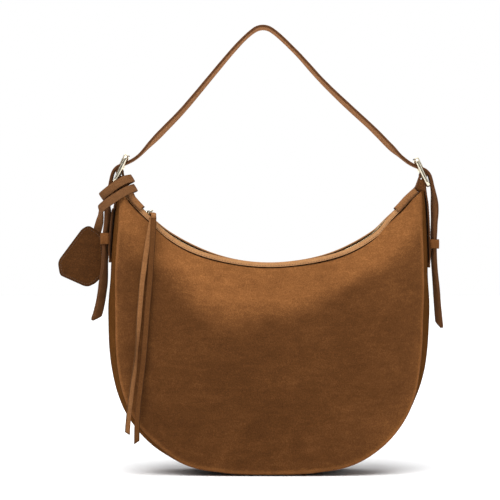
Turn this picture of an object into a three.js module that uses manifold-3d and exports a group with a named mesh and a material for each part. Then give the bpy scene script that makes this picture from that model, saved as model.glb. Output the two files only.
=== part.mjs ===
// Suede hobo bag: crescent-topped soft bag with a curved top zip, an
// adjustable shoulder strap on two buckles, long thongs on the zip pull and a
// leather tag on a lace wound round the left corner.
//
// Millimetres, +Z up, front towards -Y, +X to the right seen from the front.
// The origin is the centre of the flat under the base.

import * as THREE from 'three';
import { mergeVertices } from 'three/addons/utils/BufferGeometryUtils.js';
import Module from 'manifold-3d';

const wasm = await Module();
wasm.setup();

// ------------------------------------------------------------------ driving dimensions
const LEATHER = 2.2;            // panel and gusset thickness
const GAP = 0.35;               // clearance between neighbouring pieces
const BASE_HALF = 52;           // half length of the flat under the base
const SEAM_TOP = 14;            // half depth of the bag at its top corners
const SEAM_BASE = 45;           // half depth of the bag at its base
const CORNER_Z = 336;           // height of the top corners
const BULGE_CORNER = 4;         // how far the panels swell near the corners
const BULGE_BASE = 13;          // how far the panels swell over the base
const ZIP_HALF = 12.6;          // half depth of the bag at the zip facings
const ARC_Z = 462;              // height of the zip arc's centre
const ARC_R = 212.4;            // radius of the facings' upper edge
const PANEL_R = 217.6;          // radius of the panels' top edge
const ARC_PANEL = 50;           // degrees either side, panels' top edge
const ARC_ZIP = 44.6;           // degrees either side, tape and teeth
const LINING = 1.2;             // lining thickness
const LINING_INSET = 3.6;       // lining's outside, in from the outline
const LINING_GAP = 1.8;         // lining's outside, in from the panels
const STRAP_W = 19;             // strap width
const STRAP_T = 3.2;            // strap thickness
const TAB_T = 2.0;              // chape and side tab thickness
const SWING_Z = 377;            // height of the strap's fold
const SWING_X = 154;            // the strap's folds, either side
const FRAME_WIRE = 1.6;         // buckle frame, half width of its drawn bar
const FRAME_DEEP = 2.1;         // and half depth, square to the strap
const SADDLE = 14.6;            // half width of the chape where it covers the zip's end
const FRAME_HALF = 12.1;        // buckle rail centres, either side of the strap
const BAR_R = 1.8;              // buckle bar radius
const LEFT_DX = -4.8;           // the left buckle sits this much nearer the middle
const LEFT_DZ = 4.0;            // and this much higher
const SLIDER_ANGLE = -42.6;     // zip slider's place on the arc, degrees
const THONG_W = 6.5;            // pull thong width
const THONG_T = 2.4;            // pull thong thickness
const LACE_W = 10;              // charm lace width
const LACE_T = 2.0;             // charm lace thickness
const TAG_T = 1.9;              // one leaf of the tag

// half of the outline each, from the top corner down to the base's flat: x, z
const LEFT_EDGE = [[-179.2, 336.4], [-181.6, 320], [-184.4, 298], [-186.9, 268], [-188.5, 238],
  [-189, 205], [-188.7, 178], [-187.9, 153], [-185.9, 132], [-183.4, 117], [-180, 102],
  [-175.6, 88.5], [-169.6, 74.5], [-161, 60.5], [-151, 47.5], [-138.6, 35.3], [-124.5, 24.6],
  [-107.5, 14.6], [-88, 6.9], [-70, 2.2], [-BASE_HALF, 0]];
const RIGHT_EDGE = [[184, 333.8], [185.3, 318], [186.6, 298], [187.7, 268], [188.2, 238],
  [188.3, 205], [187.3, 178], [185.9, 153], [183.6, 132], [180.9, 117], [177, 102],
  [171.9, 88.5], [165.4, 74.5], [157.4, 60.5], [147.8, 47.5], [136.2, 35.3], [122.8, 24.6],
  [106.3, 14.6], [87.4, 6.9], [69.6, 2.2], [BASE_HALF, 0]];

// shoulder strap, centreline of the arch between the folds
const ARCH = [[-152.3, 379.6], [-142.2, 389.4], [-123.3, 408.3], [-104.4, 427.2], [-87.6, 446],
  [-71.6, 464.9], [-47.8, 493.2], [-39.5, 502.6], [-30.6, 512], [-21, 520.6], [-14.4, 524.8],
  [-7.4, 526.2], [-0.6, 524.8], [6.3, 520.4], [16.2, 511.8], [25.8, 502.4], [34.9, 493.2],
  [60.4, 464.9], [79.2, 446], [98.8, 427.2], [119.6, 408.3], [139.8, 389.6], [152.3, 378.4]];
// strap end, from the fold through the buckle and down to the tip, on the right
const END_TOP = [[155.6, 375.6], [160, 371.9], [167.4, 366.6], [174, 363.3], [180, 361.0],
  [185.6, 358.2], [189.7, 353.6], [191.9, 347.5], [193.6, 340], [195.2, 331]];
const END_RIGHT = [[196.3, 320], [196.6, 308], [196, 294], [195.5, 276], [195.6, 258], [196.1, 238],
  [197.2, 217], [198.4, 199], [199.9, 182], [200.7, 174.5]];
const END_LEFT = [[192.4, 320], [193.6, 306], [194.4, 292], [194.9, 276], [195.3, 258], [196.3, 238],
  [198.3, 218], [200.8, 202], [203.6, 190], [206, 182.5]];
// how far the strap ends are turned: height, degrees
const TURN_RIGHT = [[336, 0], [300, 9], [270, 9], [246, 13], [210, 21], [170, 23]];
const TURN_LEFT = [[316, 0], [294, 15], [284, 11], [268, 11], [249, 13], [222, 27], [180, 30]];
// buckle, on the right: far bar, near bar, and the pivot's place between them
const BUCKLE_TOP = [173.5, 371.5];
const BUCKLE_BOTTOM = [188.5, 340.0];
const PIVOT_AT = 20.8;
const KEEPER_Z = [265.3, 276.6];
const KEEPER_Z_LEFT = [270.6, 284.2];

// tag outline, x, z, as it hangs
const TAG = [[-216.6, 292.4], [-222.6, 288.6], [-247.4, 252.6], [-248.8, 247.4], [-247.2, 236.4],
  [-245.6, 233], [-219.4, 220.4], [-214.6, 220.0], [-207.8, 223.6], [-200.6, 230.8], [-196.8, 237],
  [-196.2, 243], [-199.4, 280.4], [-202.2, 284.2], [-212.8, 292.2]];
const TAG_Y = 13.2;

const D2R = Math.PI / 180;

// ------------------------------------------------------------------ helpers
const curve2 = (pts, n) => {
  const c = new THREE.CatmullRomCurve3(pts.map(([x, z]) => new THREE.Vector3(x, 0, z)), false, 'centripetal');
  return c.getSpacedPoints(n).map((p) => [p.x, p.z]);
};

function fromTriangles(vertices, faces) {
  let volume = 0;
  for (const [a, b, c] of faces) {
    const [p, q, r] = [vertices[a], vertices[b], vertices[c]];
    volume += p[0] * (q[1] * r[2] - q[2] * r[1]) - p[1] * (q[0] * r[2] - q[2] * r[0]) + p[2] * (q[0] * r[1] - q[1] * r[0]);
  }
  const g = new THREE.BufferGeometry();
  g.setAttribute('position', new THREE.Float32BufferAttribute(vertices.flat(), 3));
  g.setIndex((volume < 0 ? faces.map(([a, b, c]) => [a, c, b]) : faces).flat());
  return g;
}

// a closed body through equal rings of points, closed by a fan at each end
function loft(rings) {
  const n = rings[0].length;
  const vertices = rings.flat();
  const faces = [];
  for (let i = 0; i + 1 < rings.length; i++) {
    for (let j = 0; j < n; j++) {
      const a = i * n + j;
      const b = i * n + (j + 1) % n;
      faces.push([a, b, b + n], [a, b + n, a + n]);
    }
  }
  const last = (rings.length - 1) * n;
  for (let j = 1; j + 1 < n; j++) {
    faces.push([0, j + 1, j], [last, last + j, last + j + 1]);
  }
  return fromTriangles(vertices, faces);
}

// a thin shell between two equal grids of points
function shell(outer, inner) {
  const rows = outer.length;
  const cols = outer[0].length;
  const vertices = [...outer.flat(), ...inner.flat()];
  const o = (i, j) => i * cols + j;
  const n = (i, j) => rows * cols + i * cols + j;
  const faces = [];
  for (let i = 0; i + 1 < rows; i++) {
    for (let j = 0; j + 1 < cols; j++) {
      faces.push([o(i, j), o(i + 1, j), o(i + 1, j + 1)], [o(i, j), o(i + 1, j + 1), o(i, j + 1)]);
      faces.push([n(i, j), n(i + 1, j + 1), n(i + 1, j)], [n(i, j), n(i, j + 1), n(i + 1, j + 1)]);
    }
  }
  const rim = [];
  for (let j = 0; j + 1 < cols; j++) rim.push([0, j]);
  for (let i = 0; i + 1 < rows; i++) rim.push([i, cols - 1]);
  for (let j = cols - 1; j > 0; j--) rim.push([rows - 1, j]);
  for (let i = rows - 1; i > 0; i--) rim.push([i, 0]);
  rim.forEach(([i, j], k) => {
    const [p, q] = rim[(k + 1) % rim.length];
    faces.push([o(i, j), o(p, q), n(p, q)], [o(i, j), n(p, q), n(i, j)]);
  });
  return fromTriangles(vertices, faces);
}

// an outline with holes, the outline anticlockwise and the holes clockwise
function flatShape(outline, holes = []) {
  const turn = (pts, clockwise) => {
    const v = pts.map(([a, b]) => new THREE.Vector2(a, b));
    return THREE.ShapeUtils.isClockWise(v) === clockwise ? v : v.reverse();
  };
  const shape = new THREE.Shape(turn(outline, false));
  for (const hole of holes) shape.holes.push(new THREE.Path(turn(hole, true)));
  return shape;
}

// a flat outline in x, z given thickness from y0 to y1
function slab(outline, y0, y1, holes = []) {
  const shape = flatShape(outline, holes);
  const g = new THREE.ExtrudeGeometry(shape, { depth: y1 - y0, bevelEnabled: false, steps: 1 });
  g.rotateX(Math.PI / 2);
  g.translate(0, y1, 0);
  return g;
}

// outline of a strip of thickness t about a centreline in x, z
function strip(path, t) {
  const left = [];
  const right = [];
  path.forEach(([x, z], i) => {
    const a = path[Math.max(i - 1, 0)];
    const b = path[Math.min(i + 1, path.length - 1)];
    const l = Math.hypot(b[0] - a[0], b[1] - a[1]);
    const nx = -(b[1] - a[1]) / l;
    const nz = (b[0] - a[0]) / l;
    left.push([x + nx * t / 2, z + nz * t / 2]);
    right.push([x - nx * t / 2, z - nz * t / 2]);
  });
  return [...left, ...right.reverse()];
}

// a band on the zip arc: section is a list of radius, y
function arcBand(section, from, to, steps) {
  const rings = [];
  for (let i = 0; i <= steps; i++) {
    const a = (from + (to - from) * i / steps) * D2R;
    rings.push(section.map(([r, y]) => [r * Math.sin(a), y, ARC_Z - r * Math.cos(a)]));
  }
  return loft(rings);
}

// a flat ribbon along points, its width along the given directions
function ribbon(path, widths, w, t, bevel = 0.6) {
  const rings = path.map((p, i) => {
    const a = path[Math.max(i - 1, 0)];
    const b = path[Math.min(i + 1, path.length - 1)];
    const tangent = b.clone().sub(a).normalize();
    const width = widths[i].clone().addScaledVector(tangent, -widths[i].dot(tangent)).normalize();
    const normal = new THREE.Vector3().crossVectors(tangent, width);
    const section = [[-w / 2 + bevel, -t / 2], [w / 2 - bevel, -t / 2], [w / 2, -t / 2 + bevel], [w / 2, t / 2 - bevel],
      [w / 2 - bevel, t / 2], [-w / 2 + bevel, t / 2], [-w / 2, t / 2 - bevel], [-w / 2, -t / 2 + bevel]];
    return section.map(([s, n]) => p.clone().addScaledVector(width, s).addScaledVector(normal, n).toArray());
  });
  return loft(rings);
}

function solid(geometry) {
  const g = geometry.clone();
  for (const name of Object.keys(g.attributes)) if (name !== 'position') g.deleteAttribute(name);
  const m = mergeVertices(g, 1e-4);
  return new wasm.Manifold(new wasm.Mesh({
    numProp: 3,
    vertProperties: new Float32Array(m.attributes.position.array),
    triVerts: new Uint32Array(m.index.array),
  }));
}

function geometry(manifold) {
  const m = manifold.getMesh();
  const g = new THREE.BufferGeometry();
  g.setAttribute('position', new THREE.Float32BufferAttribute(Array.from(m.vertProperties), 3));
  g.setIndex(Array.from(m.triVerts));
  return g;
}

const group = new THREE.Group();
function add(name, geom, color, roughness, metalness = 0) {
  const mesh = new THREE.Mesh(geom, new THREE.MeshStandardMaterial({ color, roughness, metalness }));
  mesh.name = name;
  group.add(mesh);
}

const SUEDE = 0x9a6536;
const SUEDE_DARK = 0x7a4c28;
const EDGE = 0xae8763;
const METAL = 0xc9b48a;

// ------------------------------------------------------------------ the bag's form
const outline = [
  ...curve2(LEFT_EDGE, 16),
  [-BASE_HALF / 3, 0], [BASE_HALF / 3, 0],
  ...curve2(RIGHT_EDGE, 16).reverse(),
];
const last = outline.length - 1;
const inward = outline.map((_, i) => {
  const a = outline[Math.max(i - 1, 0)];
  const b = outline[Math.min(i + 1, last)];
  const l = Math.hypot(b[0] - a[0], b[1] - a[1]);
  return [-(b[1] - a[1]) / l, (b[0] - a[0]) / l];
});
const along = [0];
for (let i = 1; i <= last; i++) {
  along.push(along[i - 1] + Math.hypot(outline[i][0] - outline[i - 1][0], outline[i][1] - outline[i - 1][1]));
}

const seamHalf = (z) => SEAM_TOP + (SEAM_BASE - SEAM_TOP) * (1 - Math.pow(Math.min(Math.max(z, 0) / CORNER_Z, 1), 1.8));
const bulge = (z) => BULGE_CORNER + (BULGE_BASE - BULGE_CORNER) * (1 - Math.pow(Math.min(Math.max(z, 0) / CORNER_Z, 1), 2.2));

// half depth of the bag's outside at outline point i, v from the seam to the zip
function half(i, v) {
  const z = outline[i][1];
  return ZIP_HALF + (seamHalf(z) - ZIP_HALF) * (1 - Math.pow(v, 2.2)) + bulge(z) * Math.sin(Math.PI * v);
}

// place in x, z at outline point i, v from the seam to the zip
function place(i, v, inset, radius, arc) {
  const a = (-arc + 2 * arc * along[i] / along[last]) * D2R;
  const top = [radius * Math.sin(a), ARC_Z - radius * Math.cos(a)];
  const low = [outline[i][0] + inward[i][0] * inset, outline[i][1] + inward[i][1] * inset];
  return [low[0] + (top[0] - low[0]) * v, low[1] + (top[1] - low[1]) * v];
}

const STEPS_V = 10;
function grid(side, depth, inset, radius, arc, steps = STEPS_V) {
  return outline.map((_, i) => {
    const row = [];
    for (let j = 0; j <= steps; j++) {
      const v = j / steps;
      const [x, z] = place(i, v, inset, radius, arc);
      row.push([x, side * (half(i, v) - depth), z]);
    }
    return row;
  });
}

add('front_panel', shell(grid(-1, 0, 0, PANEL_R, ARC_PANEL), grid(-1, LEATHER, 0, PANEL_R, ARC_PANEL)), SUEDE, 0.95);
add('back_panel', shell(grid(1, 0, 0, PANEL_R, ARC_PANEL), grid(1, LEATHER, 0, PANEL_R, ARC_PANEL)), SUEDE, 0.95);

// gusset: one strip round both sides and the base
add('gusset', loft(outline.map(([x, z], i) => {
  const y = half(i, 0) - LEATHER - GAP;
  const [nx, nz] = inward[i];
  const level = z < 0.001;
  const xi = x + (level ? 0 : nx * LEATHER);
  const zi = z + (level ? LEATHER : nz * LEATHER);
  return [[x, -y, z], [x, y, z], [xi, y, zi], [xi, -y, zi]];
})), SUEDE, 0.95);

// lining: an open pouch
function pouch(depth, inset, radius) {
  const steps = 6;
  const arc = ARC_PANEL - 1.6;
  const front = grid(-1, depth, inset, radius, arc, steps);
  const back = grid(1, depth, inset, radius, arc, steps);
  return solid(shell(front, back));
}
add('lining', geometry(pouch(LEATHER + LINING_GAP, LINING_INSET, PANEL_R + 2)
  .subtract(pouch(LEATHER + LINING_GAP + LINING, LINING_INSET + LINING, PANEL_R - 6))), 0x6d4a2c, 0.9);

// ------------------------------------------------------------------ zip
const facing = [[PANEL_R - 0.4, -12.9], [ARC_R, -10.6], [ARC_R, -8.4], [PANEL_R - 0.4, -10.7]];
const mirrorY = (section) => section.map(([r, y]) => [r, -y]);
add('zip_facing_front', arcBand(facing, -ARC_PANEL + 1, ARC_PANEL - 1, 30), EDGE, 0.9);
add('zip_facing_back', arcBand(mirrorY(facing), -ARC_PANEL + 1, ARC_PANEL - 1, 30), EDGE, 0.9);
const tape = [[214.3, -9.0], [214.3, -2.7], [215.1, -2.7], [215.1, -9.0]];
add('zip_tape_front', arcBand(tape, -ARC_PANEL + 2, ARC_PANEL - 2, 30), 0x5b3f28, 0.85);
add('zip_tape_back', arcBand(mirrorY(tape), -ARC_PANEL + 2, ARC_PANEL - 2, 30), 0x5b3f28, 0.85);
const teeth = [[213.2, -2.4], [213.2, -0.7], [216.2, -0.7], [216.2, -2.4]];
add('zip_teeth_front', arcBand(teeth, -ARC_ZIP, ARC_ZIP, 30), METAL, 0.35, 1);
add('zip_teeth_back', arcBand(mirrorY(teeth), -ARC_ZIP, ARC_ZIP, 30), METAL, 0.35, 1);
const stop = [[213.0, -2.4], [213.0, 2.4], [216.4, 2.4], [216.4, -2.4]];
add('zip_stop_left', arcBand(stop, -ARC_ZIP - 1.0, -ARC_ZIP - 0.2, 1), METAL, 0.35, 1);
add('zip_stop_right', arcBand(stop, ARC_ZIP + 0.2, ARC_ZIP + 1.0, 1), METAL, 0.35, 1);

// the slider is drawn over the arc's lowest point, then turned to its place
function onArc(geom, angle = SLIDER_ANGLE) {
  geom.translate(0, 0, -ARC_Z);
  geom.rotateY(-angle * D2R);
  geom.translate(0, 0, ARC_Z);
  return geom;
}
const rz = (r) => ARC_Z - r;   // height over the arc's lowest point
const plate = (hx, hy, r0, r1) => {
  const s = new THREE.Shape();
  s.moveTo(-hx, -hy * 0.62);
  s.quadraticCurveTo(-hx, -hy * 0.78, -hx + 1.2, -hy * 0.8);
  s.lineTo(hx - 1.6, -hy);
  s.quadraticCurveTo(hx, -hy, hx, -hy + 1.4);
  s.lineTo(hx, hy - 1.4);
  s.quadraticCurveTo(hx, hy, hx - 1.6, hy);
  s.lineTo(-hx + 1.2, hy * 0.8);
  s.quadraticCurveTo(-hx, hy * 0.78, -hx, hy * 0.62);
  s.closePath();
  const g = new THREE.ExtrudeGeometry(s, { depth: r0 - r1, bevelEnabled: false, curveSegments: 3 });
  g.translate(0, 0, rz(r0));
  return g;
};
const box = (x0, x1, y0, y1, z0, z1) => {
  const g = new THREE.BoxGeometry(x1 - x0, y1 - y0, z1 - z0);
  g.translate((x0 + x1) / 2, (y0 + y1) / 2, (z0 + z1) / 2);
  return g;
};
const RING_R = 4.3;
const RING_WIRE = 0.8;
const RING_RHO = 208.2;
const RING_Y = -1.0 - RING_R;
{
  let s = solid(plate(5.6, 4.6, 212.7, 210.7));
  s = s.add(solid(plate(5.2, 4.4, 218.5, 216.8)));
  s = s.add(solid(box(-3.2, 3.2, -0.3, 0.3, rz(217.2), rz(212.2))));
  s = s.add(solid(box(-1.4, 1.4, 0.6, 2.0, rz(211.0), rz(205.0))));
  s = s.add(solid(box(-1.4, 1.4, -4.2, -2.8, rz(211.0), rz(205.0))));
  s = s.add(solid(box(-1.4, 1.4, -4.2, 2.0, rz(206.4), rz(204.9))));
  add('zip_slider', onArc(geometry(s)), METAL, 0.3, 1);
}
{
  const g = new THREE.TorusGeometry(RING_R, RING_WIRE, 8, 20);
  g.translate(0, RING_Y, rz(RING_RHO));
  add('pull_ring', onArc(g), METAL, 0.3, 1);
}
{
  // the thongs' fold round the ring's front
  const c = [RING_Y - RING_R - 0.3, rz(RING_RHO)];
  const outerShape = new THREE.Shape();
  outerShape.absellipse(0, 0, 3.7, 3.6, 0, Math.PI * 2, false);
  const hole = new THREE.Path();
  hole.absellipse(0, 0, 1.9, 1.75, 0, Math.PI * 2, true);
  outerShape.holes.push(hole);
  const g = new THREE.ExtrudeGeometry(outerShape, { depth: 3.8, bevelEnabled: false, curveSegments: 8 });
  g.rotateY(Math.PI / 2);
  g.rotateX(Math.PI / 2);
  g.translate(-1.9, c[0], c[1]);
  add('pull_loop', onArc(g), SUEDE_DARK, 0.9);
}

// ------------------------------------------------------------------ pull thongs
// points x, y, z of each thong, from the loop to its end
const THONG_RIGHT = [[-136.6, -19.0, 302.2], [-136.7, -22.4, 296], [-136.9, -27.2, 287.5], [-137.4, -32.4, 276.5],
  [-138.2, -37.0, 263], [-139.3, -40.6, 247.5], [-140.4, -43.9, 230], [-141.8, -47.5, 211.5], [-143.2, -50.9, 192],
  [-144.6, -53.8, 171], [-146.2, -55.4, 149], [-148.4, -55.8, 126], [-151, -55.6, 103], [-153.4, -55.2, 80],
  [-154.9, -54.8, 58], [-155.3, -54.4, 37.2]];
const THONG_LEFT = [[-138.9, -15.8, 300.6], [-139.6, -19.2, 295], [-141.1, -24.2, 286.5], [-143.6, -29.6, 275.5],
  [-146.3, -34.8, 262], [-149.2, -39.8, 246.5], [-151.6, -44.4, 229], [-153.2, -48.2, 210.5], [-154.6, -51.5, 191],
  [-156, -54, 170], [-157.6, -55.4, 148], [-159.8, -55.6, 125], [-162.9, -55.3, 102], [-165.7, -54.9, 79.5],
  [-167.6, -54.6, 60], [-168.4, -54.3, 47.8]];
for (const [name, pts] of [['thong_right', THONG_RIGHT], ['thong_left', THONG_LEFT]]) {
  const c = new THREE.CatmullRomCurve3(pts.map((p) => new THREE.Vector3(...p)), false, 'centripetal');
  const path = c.getSpacedPoints(26);
  add(name, ribbon(path, path.map(() => new THREE.Vector3(1, 0, 0)), THONG_W, THONG_T), SUEDE_DARK, 0.95);
}

// ------------------------------------------------------------------ strap, buckles, chapes, keepers
add('shoulder_strap', slab(strip(curve2(ARCH, 46), STRAP_T), -STRAP_W / 2, STRAP_W / 2), SUEDE, 0.95);

for (const side of [1, -1]) {
  const tag = side > 0 ? 'right' : 'left';
  const dx = side > 0 ? 0 : LEFT_DX;
  const dz = side > 0 ? 0 : LEFT_DZ;
  const at = ([x, z]) => [side * (x + dx), z + dz];

  // strap end with its prong hole
  const end = [...END_TOP.map(([x, z]) => [x + dx, z + dz]), ...(side > 0 ? END_RIGHT : END_LEFT)];
  end[0] = [SWING_X + 1.4, side > 0 ? 375.9 : 376.9];
  // it turns a little about its own line below the buckle, front edge outwards
  const turns = side > 0 ? TURN_RIGHT : TURN_LEFT;
  const turnAt = (z) => {
    let k = 0;
    while (k < turns.length - 2 && turns[k + 1][0] > z) k++;
    const f = Math.min(Math.max((turns[k][0] - z) / (turns[k][0] - turns[k + 1][0]), 0), 1);
    return (turns[k][1] + (turns[k + 1][1] - turns[k][1]) * f * f * (3 - 2 * f)) * D2R;
  };
  const endPath = curve2(end, 48);
  const endSolid = solid(ribbon(endPath.map(([x, z]) => new THREE.Vector3(side * x, 0, z)),
    endPath.map(([, z]) => new THREE.Vector3(-side * Math.sin(turnAt(z)), Math.cos(turnAt(z)), 0)), STRAP_W, STRAP_T, 0.7));

  // buckle axes in x, z
  const [tx, tz] = BUCKLE_TOP;
  const [bx, bz] = BUCKLE_BOTTOM;
  const l = Math.hypot(bx - tx, bz - tz);
  const d = [(bx - tx) / l, (bz - tz) / l];
  const n = [-d[1], d[0]];
  const P = [tx + d[0] * PIVOT_AT, tz + d[1] * PIVOT_AT];

  // buckle frame: a rounded rectangle of wire with the pivot bar across it, built
  // flat (width along y, length along the strap) and turned to its place
  const rr = 3.2;
  const hw = FRAME_HALF;
  const pts = [];
  const arcTo = (cx, cy, a0) => {
    for (let k = 0; k <= 3; k++) {
      const a = (a0 - 90 * k / 3) * D2R;
      pts.push([cx + rr * Math.cos(a), cy + rr * Math.sin(a)]);
    }
  };
  arcTo(-hw + rr, l - rr, 180);
  arcTo(hw - rr, l - rr, 90);
  arcTo(hw - rr, rr, 0);
  arcTo(-hw + rr, rr, -90);
  // ring of wire as a closed loft joined end to end
  const rings = pts.map(([y, s], i) => {
    const a = pts[(i + pts.length - 1) % pts.length];
    const b = pts[(i + 1) % pts.length];
    const m = Math.hypot(b[0] - a[0], b[1] - a[1]);
    const ny = (b[1] - a[1]) / m;
    const ns = -(b[0] - a[0]) / m;
    const ring = [];
    for (let k = 0; k < 8; k++) {
      const w = (k + 0.5) * Math.PI / 4;
      const u = FRAME_WIRE * Math.cos(w);
      const q = FRAME_DEEP * Math.sin(w);
      ring.push([y + ny * u, s + ns * u, q]);
    }
    return ring;
  });
  const toWorld = ([y, s, q]) => {
    const x = tx + d[0] * s + n[0] * q;
    const z = tz + d[1] * s + n[1] * q;
    const [X, Z] = at([x, z]);
    return [X, y, Z];
  };
  {
    const nR = rings.length;
    const vertices = rings.flat().map(toWorld);
    const faces = [];
    for (let i = 0; i < nR; i++) {
      for (let k = 0; k < 8; k++) {
        const a = i * 8 + k;
        const b = i * 8 + (k + 1) % 8;
        const c = ((i + 1) % nR) * 8 + (k + 1) % 8;
        const e = ((i + 1) % nR) * 8 + k;
        faces.push([a, b, c], [a, c, e]);
      }
    }
    add(`buckle_frame_${tag}`, fromTriangles(vertices, faces), METAL, 0.25, 1);
  }
  // pivot bar, between the rails
  {
    const g = new THREE.CylinderGeometry(BAR_R, BAR_R, 2 * (FRAME_HALF - FRAME_WIRE - GAP), 12);
    const [X, Z] = at(P);
    g.translate(X, 0, Z);
    add(`buckle_bar_${tag}`, g, METAL, 0.3, 1);
  }

  // chape: from the zip's end over the corner, round the bar, and down the gusset
  const cx = P[0];
  const cz = P[1];
  const cr = BAR_R + 0.4 + TAB_T / 2;
  const cover = [];
  const coverR = side > 0 ? ARC_R - 1.45 : ARC_R - 2.4;
  for (const a of [45, 46.6, 48.2, 49.6]) {
    const w = (a + (side > 0 ? 0 : 0.4)) * D2R;
    cover.push([coverR * Math.sin(w), ARC_Z - coverR * Math.cos(w)]);
  }
  for (const p of side > 0 ? [[164.6, 329.2], [168.8, 333.0], [172.2, 336.1]] : [[162.6, 330.6], [165.8, 334.4], [168.6, 337.8]]) cover.push(p);
  const loop = side > 0 ? [[174.8, 339.4], [176.4, 343.2], [177.8, 347.2]] : [[175.4, 337.6], [176.8, 341.6], [178.0, 345.8]];
  for (const a of [196, 172, 148, 124, 100, 76, 52, 28, 4]) loop.push([cx + cr * Math.cos(a * D2R), cz + cr * Math.sin(a * D2R)]);
  loop.push([185.3, 347.5], [184.7, 343], [184.8, 338.6]);
  const edge = curve2(side > 0 ? RIGHT_EDGE : LEFT_EDGE, 16).map(([x, z]) => [side * x, z]);
  const tabEnd = side > 0 ? 243 : 249;
  const down = [];
  for (let z = side > 0 ? 332.5 : 335.0; z >= tabEnd; z -= 8) {
    let k = 0;
    while (edge[k + 1][1] > z) k++;
    const f = (z - edge[k][1]) / (edge[k + 1][1] - edge[k][1]);
    down.push([edge[k][0] + (edge[k + 1][0] - edge[k][0]) * f + GAP + TAB_T / 2, z]);
  }
  const chapePath = [...cover, ...loop.map(([x, z]) => [x + dx, z + dz]), ...down].map(([x, z]) => [side * x, z]);
  let chapeSolid = solid(slab(strip(chapePath, TAB_T), -STRAP_W / 2, STRAP_W / 2));
  // over the zip's end it is a wide saddle whose sides hang over both facings
  {
    const ridge = cover.map(([x, z]) => [side * x, z]);
    const drop = ridge.map(([x, z], i) => {
      const p = ridge[Math.max(i - 1, 0)];
      const q = ridge[Math.min(i + 1, ridge.length - 1)];
      const m = Math.hypot(q[0] - p[0], q[1] - p[1]);
      return [x + side * (q[1] - p[1]) / m * 2.8, z - side * (q[0] - p[0]) / m * 2.8];
    });
    chapeSolid = chapeSolid.add(solid(slab(strip(ridge, TAB_T + 0.3), -SADDLE + 0.3, SADDLE - 0.3)));
    chapeSolid = chapeSolid.add(solid(slab(strip(drop, 7.0), -SADDLE, -SADDLE + 1.35)));
    chapeSolid = chapeSolid.add(solid(slab(strip(drop, 7.0), SADDLE - 1.35, SADDLE)));
  }
  const [PX, PZ] = at(P);
  const slot = solid(box(PX - 6.5, PX + 6.5, -2.1, 2.1, PZ - 3.4, PZ + 6.5));
  add(`chape_${tag}`, geometry(chapeSolid.subtract(slot)), SUEDE, 0.95);

  // prong: an eye on the bar and a shank lying on the far bar, through the strap
  {
    const eye = [];
    const steps = 12;
    for (let k = 0; k < steps; k++) eye.push([P[0] + 3.7 * Math.cos(k * 30 * D2R), P[1] + 3.7 * Math.sin(k * 30 * D2R)]);
    const holeRing = eye.map(([x, z]) => [P[0] + (x - P[0]) * 0.567, P[1] + (z - P[1]) * 0.567]);
    const off = 3.45;
    const shank = [[P[0] + n[0] * off * 0.75 - d[0] * 1.2, P[1] + n[1] * off * 0.75 - d[1] * 1.2],
      [tx + n[0] * off + d[0] * 8, tz + n[1] * off + d[1] * 8],
      [tx + n[0] * off - d[0] * 1.8, tz + n[1] * off - d[1] * 1.8]];
    const map = (list) => list.map(at);
    const eyeSolid = solid(slab(map(eye), -1.1, 1.1));
    const shankSolid = solid(slab(strip(map(shank), 2.0), -1.1, 1.1));
    const bore = solid(slab(map(holeRing), -3, 3));
    add(`buckle_prong_${tag}`, geometry(eyeSolid.add(shankSolid).subtract(bore)), METAL, 0.3, 1);
    // the strap's hole for it
    const clear = [[P[0] + n[0] * off + d[0] * 1.0, P[1] + n[1] * off + d[1] * 1.0],
      [tx + n[0] * off + d[0] * 3.5, tz + n[1] * off + d[1] * 3.5]];
    const cut = solid(slab(strip(map(clear), 5.4), -2.4, 2.4));
    add(`strap_end_${tag}`, geometry(endSolid.subtract(cut)), SUEDE, 0.95);
  }

  // keeper round the strap end
  {
    const [z0, z1] = side > 0 ? KEEPER_Z : KEEPER_Z_LEFT;
    const x0 = side > 0 ? 190.4 : 189.7;
    const x1 = side > 0 ? 201.2 : 200.5;
    const outer = [[x0, -11.4], [x1 - 2, -11.4], [x1, -9.4], [x1, 9.4], [x1 - 2, 11.4], [x0, 11.4]];
    const inner = [[x0 + 1.5, -9.9], [x1 - 2.2, -9.9], [x1 - 1.6, -9.2], [x1 - 1.6, 9.2], [x1 - 2.2, 9.9], [x0 + 1.5, 9.9]];
    const shape = flatShape(outer.map(([x, y]) => [side * x, y]), [inner.map(([x, y]) => [side * x, y])]);
    const g = new THREE.ExtrudeGeometry(shape, { depth: z1 - z0, bevelEnabled: false });
    g.translate(0, 0, z0);
    add(`keeper_${tag}`, g, SUEDE, 0.95);
  }
}

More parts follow.
